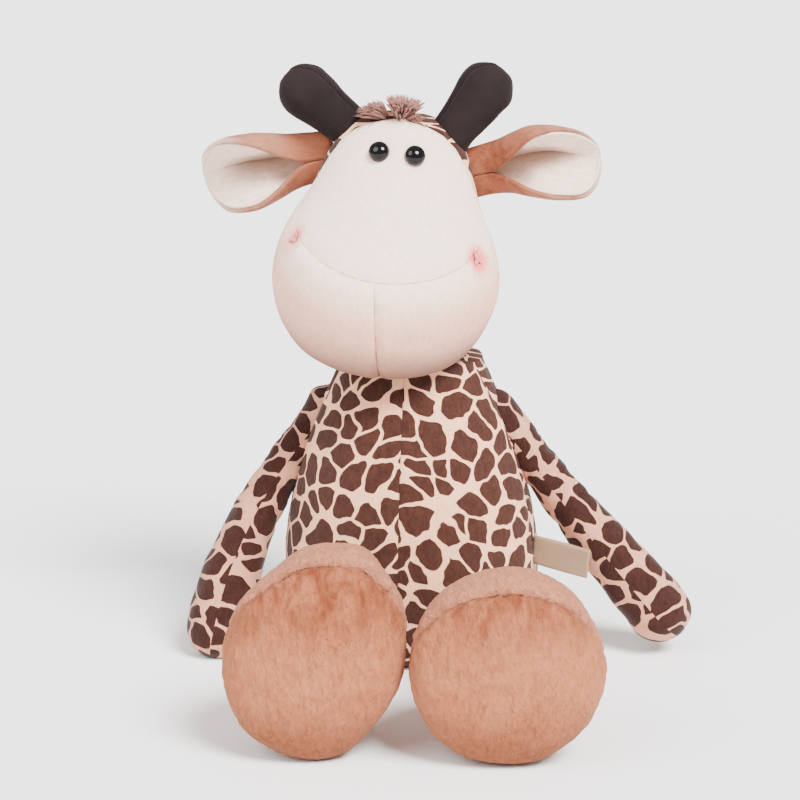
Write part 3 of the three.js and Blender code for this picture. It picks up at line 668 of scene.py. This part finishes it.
cream_plush = plush("cream_plush", face_colour, nap=(1, 1, 0.5), fluff=0.65, sheen=0.1)
head_levels = [ring for ring in head_rings if ring[0] > 3]
back_plush = plush("head_back_plush", giraffe_print((21.3, 3.3)))
head_panels = [  # panel, name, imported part, finish, cloth
    (FACE, "face_panel", "face", "cream_plush", cream_plush),
    (MUZZLE_LEFT, "muzzle_panel_left", "muzzle_left", "cream_plush", cream_plush),
    (MUZZLE_RIGHT, "muzzle_panel_right", "muzzle_right", "cream_plush", cream_plush),
    (HEAD_BACK, "head_panel_back", "head_back", "spotted_plush", back_plush)]
for kind, name, cad, slot, cloth in head_panels:
    part = panel_of(head_bm, kind)
    cut_from(part, flat_on(head_levels, pi))
    panel = placed(part, name, on_head, slot, cloth, cad)
    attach(panel, "head")
    thickened(panel, plush_thickness)
head_bm.free()

# Eyes: black plastic domes with a narrow flange. A stem goes through the face, and a washer locks
# it from inside.
eye_radius, eye_bulge, eye_flange, eye_sunk = 5.0, 3.7, 0.7, 1.5
eye_steps, dome_steps = 48, 14
black_plastic, black_shader, place = finish_for("black_plastic")
flow = mottle(place, 90)
filled(black_shader, {
    "Base Color": dyed(flow, srgb(5, 4, 4), srgb(14, 10, 9)),
    "Roughness": node("MapRange", {"Value": flow, "To Min": 0.05, "To Max": 0.11}),
    "Specular IOR Level": 0.25, "Coat Weight": 0.1, "Coat Roughness": 0.04})


def facing(parent, place, way, axis="Z"):
    """A frame at a place in its parent, with one of its axes along a direction."""
    turn = way.to_track_quat(axis, "Y").to_matrix().to_4x4()
    return parent @ Matrix.Translation(place) @ turn


for (side, name), at in zip(SIDES, eye_points):
    bm = bmesh.new()
    profile = [(0, -eye_sunk), (eye_radius - 1, -eye_sunk), (eye_radius, -0.6),
               (eye_radius + 0.15, 0), (eye_radius, eye_flange)]
    for i in range(1, dome_steps + 1):
        turn = pi / 2 * i / dome_steps
        profile.append((eye_radius * cos(turn), eye_flange + eye_bulge * sin(turn)))
    line = [bm.verts.new((r, 0, z)) for r, z in profile]
    edges = [bm.edges.new(pair) for pair in zip(line, line[1:])]
    bmesh.ops.spin(bm, geom=line + edges, cent=(0, 0, 0), axis=(0, 0, 1), angle=2 * pi,
                   steps=eye_steps, use_merge=True)
    bmesh.ops.remove_doubles(bm, verts=bm.verts, dist=1e-3)
    turned_out(bm)
    stand = facing(on_head, at, head_form.outward(side * eye_spread, eye_rise))
    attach(placed(bm, "eye_dome_" + name, stand, "black_plastic", black_plastic, "eye_" + name),
            "head")

# Nostrils: pink embroidery thread, three stitches to an arm, drawn tight through the muzzle in a
# short three-armed star.
thread_radius, thread_depth = 0.42, 1.2
star_reach, stitch_offsets = (5.2, 4.0, 3.6), (-0.55, 0.15, 0.75)
pink_thread, thread_shader, place = finish_for("pink_thread")
ply = node("TexWave", {"Vector": place, "Scale": 700, "Distortion": 1.5, "Detail": 1},
           bands_direction="DIAGONAL")
filled(thread_shader, {
    "Base Color": dyed(ply, srgb(206, 120, 112), srgb(232, 150, 140)),
    "Normal": bumpy(ply, 0.4, 0.0002),
    "Roughness": 0.6, "Sheen Weight": 0.3})


def strand(bm, points, thick, thin, sides=5, rows=6):
    """Adds a thread along points, which tapers from thick to thin."""
    def place(turn, share):
        at = Vector(through(points, share))
        ahead = (Vector(through(points, min(share + 0.05, 1)))
                 - Vector(through(points, max(share - 0.05, 0)))).normalized()
        across = ahead.orthogonal().normalized()
        size = (thick + (thin - thick) * share) * (0 if share in (0, 1) else 1)
        return at + size * (across * cos(turn) + ahead.cross(across) * sin(turn))
    shaped(bm, sides, rows, place)


for (side, name), at, way in zip(SIDES, nostril_points, nostril_ways):
    bm = bmesh.new()
    for angle, long in zip(star_angles, star_reach):
        for beside in stitch_offsets:
            end = Vector((cos(angle), sin(angle), 0)) * (long - abs(beside))
            off = Vector((-sin(angle), cos(angle), 0)) * beside
            strand(bm, [off * 0.2 + up(-thread_depth),
                        end * 0.3 + off + up(-0.6),
                        end * 0.7 + off + up(0.1),
                        end + off + up(-thread_depth)], thread_radius, thread_radius)
    turned_out(bm)
    stitches = placed(bm, "nostril_stitches_" + name, facing(on_head, at, way), "pink_thread",
                      pink_thread, "nostril_" + name)
    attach(stitches, "head")

# Hair: bunches of soft yarn sewn between the horns, two full ones and a thin one beside them, cut
# blunt so that they fan out.
hair_place, hair_length = Vector((-3, -5.5, head_height - 1.5)), 12.5
hair_bunches = [  # how far to the side, lean in degrees, strands, share of the length
    (-5.5, -46, 220, 0.95), (2, 4, 260, 1.2), (5.5, 60, 80, 0.62)]
hair_thick, hair_thin = 0.52, 0.46


def split(place):
    """A point's coordinates, by the name of the axis."""
    return node("SeparateXYZ", {"Vector": place}).node.outputs


hair_pile, hair_shader, place = finish_for("hair_pile")
strands = mottle(place, 1100)
rise = split(place)["Z"]
tipped = calc("MULTIPLY", spread(rise, 0.268, 0.284), strands)
roots = dyed(strands, srgb(96, 58, 49), srgb(128, 82, 70))
filled(hair_shader, {
    "Base Color": dyed(tipped, roots, srgb(190, 136, 122)),
    "Normal": bumpy(strands, 0.3, 0.0002),
    "Roughness": 0.8, "Sheen Weight": 0.15})
chance = random.Random(7)
bm = bmesh.new()
for across, lean, count, long_share in hair_bunches:
    for i in range(count):
        round_way = chance.uniform(0, 2 * pi)
        out = sqrt(chance.random())
        root = hair_place + Vector((across + 2.2 * out * cos(round_way),
                                    2.4 * out * sin(round_way), -3))
        tilt = radians(lean + 24 * out * cos(round_way) + chance.gauss(0, 6))
        fall = radians(-12 + 34 * out * sin(round_way) + chance.gauss(0, 8))
        way = Vector((sin(tilt), sin(fall), cos(tilt) * cos(fall))).normalized()
        long = hair_length * long_share * chance.uniform(0.88, 1.04)
        bend = Vector((sin(tilt), sin(fall), -0.6)) * long * 0.18
        strand(bm, [root, root + way * long * 0.4, root + way * long * 0.75 + bend * 0.4,
                    root + way * long + bend], hair_thick, hair_thin, sides=4, rows=4)
turned_out(bm)
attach(placed(bm, "hair_bunches", on_head, "hair_pile", hair_pile, "hair"), "head")

# Horns: clubs of dark velvet, two halves sewn together along their edges and stuffed, and sewn on
# over the seam of the face.
horn_length, horn_radius, horn_flat = 58.5, 11, 0.86
horn_girth = [(0, 1), (0.25, 0.98), (0.5, 1.08), (0.75, 1.24), (0.9, 1.27), (1, 1.25)]
horn_inset, horn_drop, horn_back = 10.5, 14.5, 3
horn_splay = {1: 31, -1: 57}
horn_seam_turn = 0.5
velvet_dark, velvet_light, velvet_bloom = srgb(28, 22, 22), srgb(36, 28, 29), srgb(46, 36, 37)


def lookup(rows, place):
    """The value at a place, along a smooth curve through (place, value) rows."""
    return through(rows, where(place, lambda share: through(rows, share)[0]))[1]


def limb(spine, radius, girth, columns, rows, uneven, seed, flat=1):
    """A stuffed tube with domed ends along points of a spine."""
    steps = 200
    fine = [Vector(through(spine, i / steps)) for i in range(steps + 1)]
    lengths = lengths_along(fine, lambda a, b: (b - a).length)
    whole = lengths[-1]
    domes = radius * lookup(girth, 0) / whole, radius * lookup(girth, 1) / whole
    rings = []
    for row in range(rows + 1):
        share = row / rows
        share = 0.6 * share + 0.4 * (1 - cos(pi * share)) / 2  # closer at the ends
        i = min(bisect.bisect(lengths, share * whole) - 1, steps - 1)
        w = (share * whole - lengths[i]) / (lengths[i + 1] - lengths[i])
        ahead = (fine[min(i + 3, steps)] - fine[max(i - 2, 0)]).normalized()
        dome = min(1, max(0, 1 - share / domes[0], 1 - (1 - share) / domes[1]))
        size = radius * lookup(girth, share) * sqrt(1 - dome ** 2)
        deep = (Vector((0, 1, 0)) - ahead * ahead.y).normalized()
        rings.append((fine[i].lerp(fine[i + 1], w), size, deep, ahead.cross(deep), share * whole))

    def place(turn, share):
        centre, size, deep, across, run = rings[round(share * rows)]
        way = deep * flat * cos(turn) + across * sin(turn)
        return centre + way * (size + (uneven * lumps(centre + way * size, 11, seed) if size else 0))

    def laid(turn, share):
        return radius * turn / 1000, rings[round(share * rows)][4] / 1000
    bm = bmesh.new()
    shaped(bm, columns, rows, place, laid)
    turned_out(bm)
    return bm


def dark_colour(place, fibres, tufts):
    """Nearly black velvet, paler where it is crushed and at the tips of its pile."""
    crushed = spread(mottle(place, 60), 0.4, 0.65)
    velvet = dyed(crushed, velvet_dark, velvet_light)
    return dyed(calc("MULTIPLY", fibres, 0.35), velvet, velvet_bloom)


dark_plush = plush("dark_velvet", dark_colour, nap=(1, 1, 1), fluff=0.25, sheen=0.08,
                   sheen_tint=srgb(190, 170, 175))
for side, name in SIDES:
    horn_side = head_form.level(head_height - horn_drop)[0] - horn_inset
    stand = standing(on_head, (side * horn_side, horn_back, head_height - horn_drop),
                     ("Y", side * horn_splay[side]))
    bm = limb([(0, 0, -horn_radius + 4), (0, 0, 15), (0, 0, 32), (0, 0, horn_length - horn_radius)],
              horn_radius, horn_girth, 64, 60, 0.35, 11 + side, horn_flat)
    edge = Vector((-side * sin(horn_seam_turn), cos(horn_seam_turn), 0))
    scored(bm, up(0), edge, (-1.6, -0.8, -0.3, 0, 0.3, 0.8, 1.6))
    pressed(bm, lambda at: valley(at.dot(edge), 1.0, 0.7) + 0.25 * lumps(at, 7, 13))
    horn = placed(bm, "horn_club_" + name, stand, "dark_plush", dark_plush, "horn_" + name)
    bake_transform(horn)

# Ears: a tan back and a cream lining sewn round the edge, folded in half at the root so that the
# two edges meet, and opening into a leaf further out.
ear_length, ear_neck, ear_back_set = 63, 2, 12
lining_inset, lining_hem, lining_thickness = 2.3, 2.2, 1.2
ear_drop, ear_set, ear_crease, lining_puff = 29, 5, 5, 6
ear_lift = {1: 22, -1: -13}
ear_droop = {1: 8, -1: 1.5}
ear_half = [(0, 13), (0.15, 13.2), (0.3, 14.4), (0.42, 16.8), (0.54, 18.9), (0.64, 19.5),
            (0.74, 19.3), (0.83, 17.9), (0.9, 15.4), (0.95, 12), (0.985, 7), (1, 0.7)]
ear_upper = [(0, 179), (0.2, 178), (0.3, 165), (0.4, 146), (0.5, 128), (0.6, 114), (0.72, 101),
             (0.85, 84), (1, 62)]
ear_lower = [(0, 179), (0.2, 177), (0.32, 158), (0.45, 138), (0.6, 124), (0.75, 110), (0.88, 88),
             (1, 62)]
ear_deep = [(0, 0.4), (0.2, 0.44), (0.4, 0.68), (0.6, 0.84), (0.8, 0.8), (1, 0.8)]
tan_light, tan_dark, tan_brushed = srgb(146, 96, 76), srgb(118, 72, 55), srgb(178, 124, 100)
ear_root_tint_and_shade, ear_edge = srgb(242, 216, 200), srgb(222, 188, 170)
# The lining's last colour is painted shade along the fold.
lining_light, lining_dark, lining_fold_shade = srgb(240, 214, 199), srgb(222, 191, 174), srgb(164, 134, 116)


def tan_colour(place, fibres, tufts):
    """Tan plush, darker where the pile is brushed against its lie, warmer with painted shade at the
    root, and pale on the tip's edge.
    """
    streaked = node("Mapping", {"Vector": place, "Scale": (1, 1, 0.4), "Rotation": (0, 0.35, 0.2)})
    brushed = calc("ADD", mottle(streaked, 130, 4, Roughness=0.6), mottle(place, 38))
    brushed = spread(brushed, 0.82, 1.16, 0.45)
    base = dyed(brushed, shaded(fibres, tufts, tan_light, tan_dark), tan_brushed)
    out = calc("ABSOLUTE", split(place)["X"])
    # partly the cloth's own warmer colour, partly painted shade: darker and more orange towards the
    # root, where the ear meets the head
    base = dyed(eased(out, 0.078, 0.05), base, ear_root_tint_and_shade, "MULTIPLY")
    on_leaf = split(on_cloth(place))
    edge = calc("MAXIMUM", calc("ABSOLUTE", on_leaf["X"]), on_leaf["Y"])
    pale = calc("MULTIPLY", eased(out, 0.078, 0.1), eased(edge, 0.84, 0.97))
    return dyed(pale, base, ear_edge)


def lining_colour(place, fibres, tufts):
    """Cream pile, with painted shade along the ear's fold, fading out towards the tip."""
    on_leaf = split(on_cloth(place))
    off = calc("ABSOLUTE", on_leaf["X"])
    off = calc("ADD", off, calc("MULTIPLY", tufts, 0.12))
    short = eased(on_leaf["Y"], 0.78, 0.4)
    # painted shade: darker near the fold's middle line, on the root half of the leaf
    fold_shade = calc("MULTIPLY", eased(off, 0.5, 0.08), short)
    return dyed(fold_shade, shaded(fibres, tufts, lining_light, lining_dark), lining_fold_shade)


ear_tan = plush("ear_tan_plush", tan_colour, nap=(0.5, 1, 1), fluff=0.4)
ear_cream = plush("ear_lining_plush", lining_colour, nap=(0.5, 1, 1), fluff=0.25, sheen=0.1)


def ear_leaf(side, inset, hem):
    """A curled leaf. The lining is set in from the outer skin and from the edge, and puffed."""
    bm = bmesh.new()

    def place(turn, share):
        along = max((1 - (1 - share) ** 1.6) * (1 - 0.3 * hem / ear_length), 1e-3)
        upper, lower = radians(lookup(ear_upper, along)), radians(lookup(ear_lower, along))
        half = lookup(ear_half, along)
        bend = (upper if turn > 0 else lower) - hem * (1 - 0.75 * ramp(along, 0.45, 0.85)) / half
        angle = bend * turn / pi
        size = half - inset
        wave = 0.7 * lumps((along * ear_length, size * angle, 0), 12, 21 + side) * ramp(along, 0.1, 0.4)
        middle = ramp(along, 0.16, 0.36) * (1 - ramp(along, 0.66, 0.92))
        off = abs(size * angle)
        fold = ear_crease * exp(-off / 4) * middle
        if inset:
            puffed = ramp(along, 0.34, 0.52) * (1 - ramp(along, 0.7, 0.97))
            size -= lining_puff * sin(abs(turn)) * puffed
        return Vector((side * (ear_neck - 6 + (ear_length - ear_neck + 6) * along),
                       ear_back_set + (size * cos(angle) - half) * lookup(ear_deep, along)
                       - wave + fold, size * sin(angle) - ear_droop[side] * ramp(along, 0.5, 1)))
    shaped(bm, 56, 52, place, lambda turn, share: (turn / pi, share))
    bm.normal_update()
    middle = min(bm.faces, key=lambda f: (f.calc_center_median() - Vector((side * 30, 12, 0))).length)
    if middle.normal.y < 0:
        bmesh.ops.reverse_faces(bm, faces=bm.faces)
    return bm


for side, name in SIDES:
    ear_side = head_form.level(head_height - ear_drop)[0] - 0.5
    stand = standing(on_head, (side * ear_side, ear_set, head_height - ear_drop),
                     ("Y", -side * ear_lift[side]), ("X", 12))
    back = placed(ear_leaf(side, 0, 0), "ear_leaf_back_" + name, stand, "tan_plush", ear_tan,
                  "ear_back_" + name)
    lining = placed(ear_leaf(side, lining_inset, lining_hem), "ear_leaf_lining_" + name, stand,
                    "cream_plush", ear_cream, "ear_lining_" + name)
    for leaf, thick in ((back, plush_thickness), (lining, lining_thickness)):
        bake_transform(thickened(leaf, thick))

# Arms: long sleeves of the printed plush, narrow at the shoulder and fuller at the hand, softly
# stuffed so that they crease where they hang.
arm_length, arm_radius = 158, 12
arm_girth = [(0, 1), (0.2, 0.86), (0.35, 0.88), (0.5, 1), (0.65, 1.16), (0.8, 1.29), (0.92, 1.34),
             (1, 1.3)]
shoulder_rise = body_height - 30
shoulder_side = body_form.level(shoulder_rise)[0] - 5
arm_spread, arm_forward = {1: 40, -1: 24}, {1: 1, -1: 15}
arm_bow, arm_reach = {1: -1, -1: 9}, {1: 1, -1: 0.925}
# painted shade: the arms' print is darkened as though they hang in shade
arm_painted_shade = (0.64, 0.58, 0.6, 1)
for (side, name), shift in zip(SIDES, ((5.3, 12.4), (17.9, 7.7))):
    stand = standing(body_frame, (side * shoulder_side, 4, shoulder_rise),
                     ("Y", -side * arm_spread[side]))

    def on_arm(share, out):
        """A point that share of the way down the arm, bowed out to the side."""
        down = (arm_length - arm_radius) * arm_reach[side] * share
        return side * out, -down * tan(radians(arm_forward[side])), -down
    spine = [(0, 0, arm_radius), on_arm(0, 0), on_arm(1 / 3, arm_bow[side]),
             on_arm(2 / 3, arm_bow[side]), on_arm(1, 0)]
    bm = limb(spine, arm_radius, arm_girth, 72, 110, 0.9, 31 + side)

    def arm_push(at):
        """Creases where the sleeve is slack below the shoulder."""
        slack = ramp(-at.z, 2, 18) * (1 - ramp(-at.z, 60, 90))
        creases = noise(Vector((at.x / 16, at.y / 16, at.z / 5 + 9 * side)))
        return 0.35 * lumps(at, 8, 33) - 1.3 * slack * max(0, creases) + valley(at.y, 0.3, 1) * slack
    pressed(bm, arm_push)
    cloth = plush("arm_plush_" + name, giraffe_print(shift, arm_painted_shade))
    arm = placed(bm, "arm_sleeve_" + name, stand, "spotted_plush", cloth, "arm_" + name)
    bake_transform(arm)

# Legs and feet: a short printed leg opens into the back of a big soft foot, whose tan upper is
# sewn all round to a puffed-out round sole. The feet lie forward, soles to the front.
leg_radius, hip_spread = 17.5, 34
hip_rise = leg_radius + 3.5
foot_width, foot_height, foot_depth = 84, 95, 71
sole_reach, foot_spread = {1: 183, -1: 173}, {1: 42, -1: 44.5}
foot_slump, foot_pitch = {1: 0.04, -1: -0.045}, {1: 7, -1: 0}
foot_lean = {1: 0, -1: 0.11}
foot_rows, foot_columns, filling_rows, filling_columns = 150, 200, 40, 60
sole_seam_at = up(foot_depth * 0.36)
sole_seam_turn = radians(18)
sole_seam = Vector((0, -sin(sole_seam_turn), cos(sole_seam_turn)))
sole_light, sole_dark, sole_brushed = srgb(164, 98, 66), srgb(136, 78, 51), srgb(186, 119, 87)
# The second colour on the next line is painted shade near the ground.
sole_crushed, sole_ground_shade, foot_bloom = srgb(112, 57, 35), srgb(203, 194, 187), srgb(255, 215, 190)
foot_shares = [  # depth, half width, top, bottom
    (0, 0, 0, 0), (0.012, 0.3, -0.15, 0.15), (0.05, 0.62, -0.31, 0.31), (0.11, 0.84, -0.42, 0.42),
    (0.17, 0.935, -0.465, 0.468), (0.24, 0.985, -0.488, 0.495), (0.33, 1, -0.5, 0.5),
    (0.48, 0.975, -0.485, 0.5), (0.62, 0.89, -0.42, 0.498), (0.76, 0.755, -0.3, 0.49),
    (0.87, 0.62, -0.18, 0.47), (0.96, 0.46, -0.05, 0.42), (1, 0, 0.24, 0.24)]


def sole_colour(place, fibres, tufts):
    """Tan pile in brushed patches, crushed darker under the top seam, with painted shade towards the
    ground.
    """
    swept = node("Mapping", {"Vector": place, "Scale": (1, 1, 0.4), "Rotation": (0, -0.6, 0.3)})
    brushed = calc("ADD", mottle(swept, clump_grain, 3, Distortion=0.6),
                   mottle(place, 30, 2, Distortion=1))
    brushed = spread(brushed, 0.7, 1.3, 0.6)
    rise = split(place)["Z"]
    crushed = spread(mottle(swept, 120, 5, Distortion=0.8), 0.3, 0.68)
    crushed = calc("MULTIPLY", crushed, eased(rise, 0.052, 0.08))
    base = dyed(brushed, shaded(fibres, tufts, sole_light, sole_dark), sole_brushed)
    base = dyed(crushed, base, sole_crushed)
    # painted shade: darker towards the ground
    return dyed(eased(rise, 0.04, 0.004), base, sole_ground_shade, "MULTIPLY")


def upper_colour(place, fibres, tufts):
    """Even tan pile."""
    return shaded(fibres, tufts, srgb(178, 116, 88), srgb(150, 94, 72))


sole_plush = plush("sole_plush", sole_colour, nap=(1, 1, 0.4), clumps=1, fluff=1.0, sheen=0.1,
                   sheen_tint=foot_bloom)
upper_plush = plush("foot_upper_plush", upper_colour, nap=(1, 0.5, 1), clumps=1, fluff=1.0, sheen=0.15,
                    sheen_tint=foot_bloom)
SOLE, UPPER = 0, 1


def inner_finish(name, light, dark, size, rough, relief):
    """The finish of something inside the toy: uneven in colour and surface."""
    material, shader, place = finish_for(name)
    tangle = mottle(place, size, 5, Distortion=1.5)
    filled(shader, {
        "Base Color": dyed(tangle, dark, light), "Roughness": rough,
        "Normal": bumpy(tangle, 0.5, relief)})
    return material


fibre = inner_finish("fibre_filling", srgb(250, 249, 246), srgb(228, 226, 220), 180, 1, 0.002)


for (side, name), shift in zip(SIDES, ((2.2, 19.1), (11.4, 23.6))):
    width = foot_width * (1 + foot_slump[side])
    height = foot_height * (1 - foot_slump[side])
    form = Stuffed(foot_shares, width, height, foot_depth)
    laid_back = Matrix.Rotation(radians(foot_pitch[side] - 90), 4, "X")
    bm = wrapped(even_rings(form.ring, 0, 1, foot_rows), foot_columns)
    scored(bm, sole_seam_at, sole_seam, (-2.4, -1.2, -0.5, 0, 0.5, 1.2, 2.4))
    sorted_into(bm, lambda at: UPPER if (at - sole_seam_at).dot(sole_seam) > 0 else SOLE)
    low = [laid_back @ v.co for v in bm.verts]
    front, under = min(co.y for co in low), min(co.z for co in low)
    stand = Matrix.Translation((side * foot_spread[side], -sole_reach[side] - front,
                                -0.5 - under)) @ laid_back

    def foot_push(at):
        """A deep gathered seam at the top, and the unevenness of soft filling."""
        off, turn = (at - sole_seam_at).dot(sole_seam), atan2(at.x, -at.y)
        top = 0.3 + 0.7 * ramp(-at.y, -15, 25)
        pucker = 1 + 0.9 * ripple(turn, 9, 4 + side)
        gather, ragged = ripple(turn, 13, 8 + side), ripple(turn, 26, 2 + side)
        push = valley(off + 0.9 * ragged, 2.4 * pucker, 1.5) * top
        push += 0.7 * noise(at / 3.2) * top * exp(-(off / 16) ** 2)
        push += 1.6 * gather * top * exp(-abs(off) / 6)
        if side < 0:
            lopsided = 2.4 * exp(-((at.x - 17) / 9) ** 2) - 3 * exp(-((at.x + 24) / 15) ** 2)
            push += lopsided * ramp(-at.y, 14, 38) + 1.5 * ramp(at.x, 20, 40)
        brushed = noise(Vector(((at.x + 0.6 * at.y) / 2, (at.y - 0.6 * at.x) / 5, at.z / 4)))
        return (push + 1.1 * lumps(at, 26, 41 + side) + 0.35 * lumps(at, 9, 43 + side)
                + 0.4 * brushed)
    filling = wrapped(even_rings(form.ring, 0, 1, filling_rows), filling_columns)
    pressed(filling, lambda at: min(0, foot_push(at)) - 2.4)
    pressed(bm, foot_push)
    for skin in (bm, filling):
        skin.transform(stand)
        for v in skin.verts:
            v.co.x += foot_lean[side] * (v.co.z - foot_height / 2) * ramp(v.co.z, 0, 20)
            v.co.z = max(v.co.z, 0 if skin is bm else plush_thickness)
    filling = placed(filling, "foot_filling_" + name, ON_GROUND, "stuffing", fibre,
                     "foot_stuffing_" + name)
    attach(filling, name + "_leg")
    for kind, piece, cad, cloth in ((SOLE, "sole_pad_", "sole_", sole_plush),
                                    (UPPER, "foot_top_", "foot_upper_", upper_plush)):
        part = panel_of(bm, kind)
        pad = placed(part, piece + name, ON_GROUND, "tan_plush", cloth, cad + name)
        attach(pad, name + "_leg")
        thickened(pad, plush_thickness)
    bm.free()

    hip = body_form.front(side * hip_spread, hip_rise) + Vector((0, 3, 0))
    hip = Matrix.Rotation(radians(body_turn), 4, "Z") @ hip
    ankle = stand @ Vector((0, 0.2 * height, 0.85 * foot_depth))
    start = hip - (ankle - hip).normalized() * leg_radius
    bm = limb([start, hip, hip.lerp(ankle, 0.5), ankle], leg_radius,
              [(0, 1), (0.5, 0.97), (1, 1)], 64, 50, 0.6, 51 + side)
    cloth = plush("leg_plush_" + name, giraffe_print(shift), nap=(1, 0.45, 1))
    leg = placed(bm, "leg_sleeve_" + name, ON_GROUND, "spotted_plush", cloth, "leg_" + name)
    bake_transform(leg)

# Tail: a thin tube of the printed plush, lightly stuffed and sewn into the back panel, with a tuft
# of the hair's yarn on its end.
tail_length, tail_radius, tuft_length = 38, 4.6, 24
tuft_strands, tuft_thick, tuft_thin = 220, 0.5, 0.28
tail_rise = body_height * 0.25
at_tail = body_form.level(tail_rise)
stand = standing(body_frame, (0, at_tail[2] + at_tail[1], tail_rise), ("X", -126))
bm = limb([(0, 0, -tail_radius), (0, 0, 10), (0, 0, 24), (0, 0, tail_length)], tail_radius,
          [(0, 1), (0.5, 0.9), (1, 0.95)], 40, 40, 0.2, 61)
cloth = plush("tail_plush", giraffe_print((9.9, 2.8)))
tail = placed(bm, "tail_tube", stand, "spotted_plush", cloth, "tail")
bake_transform(tail)
chance = random.Random(19)
bm = bmesh.new()
for i in range(tuft_strands):
    round_way = chance.uniform(0, 2 * pi)
    out = sqrt(chance.random())
    side_way = Vector((cos(round_way), sin(round_way), 0))
    root = side_way * 3.2 * out + up(tail_length - 9 + 5 * (1 - out))
    long = tuft_length * chance.uniform(0.72, 0.9)
    strand(bm, [root, root + side_way * 3.4 * out + up(long * 0.35),
                root + side_way * 4 * out + up(long * 0.7),
                root + side_way * chance.uniform(0.6, 3.6) * out + up(long)],
           tuft_thick, tuft_thin, sides=4, rows=4)
turned_out(bm)
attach(placed(bm, "tail_tuft_yarn", stand, "hair_pile", hair_pile, "tail_tuft"), "tail")

# Label: a bare satin ribbon, folded in half, with both ends caught in the left side seam. It sticks
# out and curls a little.
label_length, label_height, label_rise = 30, 14.5, 54.5
half, deep, middle, rise = body_form.level(label_rise)
seam_out = half * sqrt(1 - ((body_side_seam - middle) / deep) ** 2)
stand = standing(body_frame, (seam_out, body_side_seam, label_rise), ("Z", -22), ("Y", 5))
bm = bmesh.new()


def ribbon_place(turn, share):
    """Out from the seam, round the fold and back, with a slight curl."""
    fold = turn / pi
    out = (label_length + 1) * (1 - abs(fold) ** 1.6) - 1
    apart = 0.42 * (1 if fold > 0 else -1) * min(1, abs(fold) * 14) * (1 + 0.8 * sin(3 * abs(fold)))
    curl = 0.9 * sin(pi * (out + 1) / label_length) * (share - 0.3)
    return Vector((out, apart + curl, (share - 0.5) * label_height - 0.02 * out))


shaped(bm, 60, 12, ribbon_place, lambda turn, share: (turn * 0.01, share * 0.0145))
satin, satin_shader, place = finish_for("satin_ribbon")
weave = node("Mapping", {"Vector": on_cloth(place), "Scale": (1, 4, 1)})
threads = node("TexWave", {"Vector": weave, "Scale": 900, "Distortion": 0.6, "Detail": 1},
               bands_direction="Y")
ribbon_base = dyed(mottle(weave, 120), srgb(140, 111, 86), srgb(156, 130, 103))
ribbon_light = calc("MULTIPLY", threads, 0.2)
filled(satin_shader, {
    "Base Color": dyed(ribbon_light, ribbon_base, srgb(150, 122, 100)),
    "Normal": bumpy(threads, 0.15, 0.0001),
    "Roughness": 0.45, "Sheen Weight": 0.2, "Anisotropic": 0.4})
ribbon = thickened(placed(bm, "label_ribbon", stand, "ribbon", satin, "label"), 0.3, 0)
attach(ribbon, "side_label")

# Inside: what the cloth hides. Polyester fibre fills the head, body, horns and limbs, a pouch of
# plastic pellets weighs down the seat, and a washer behind each eye locks it.
pouch = inner_finish("pellet_pouch", srgb(238, 240, 241), srgb(206, 210, 214), 400, 0.6, 0.001)
washers = inner_finish("washer_plastic", srgb(240, 240, 236), srgb(226, 226, 220), 60, 0.35, 0.0002)
for name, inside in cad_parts.items():
    finish = (fibre if "stuffing" in name else pouch if name == "bean_pouch"
              else washers if "washer" in name else None)
    if finish:
        for slot in inside.material_slots:
            slot.material = finish
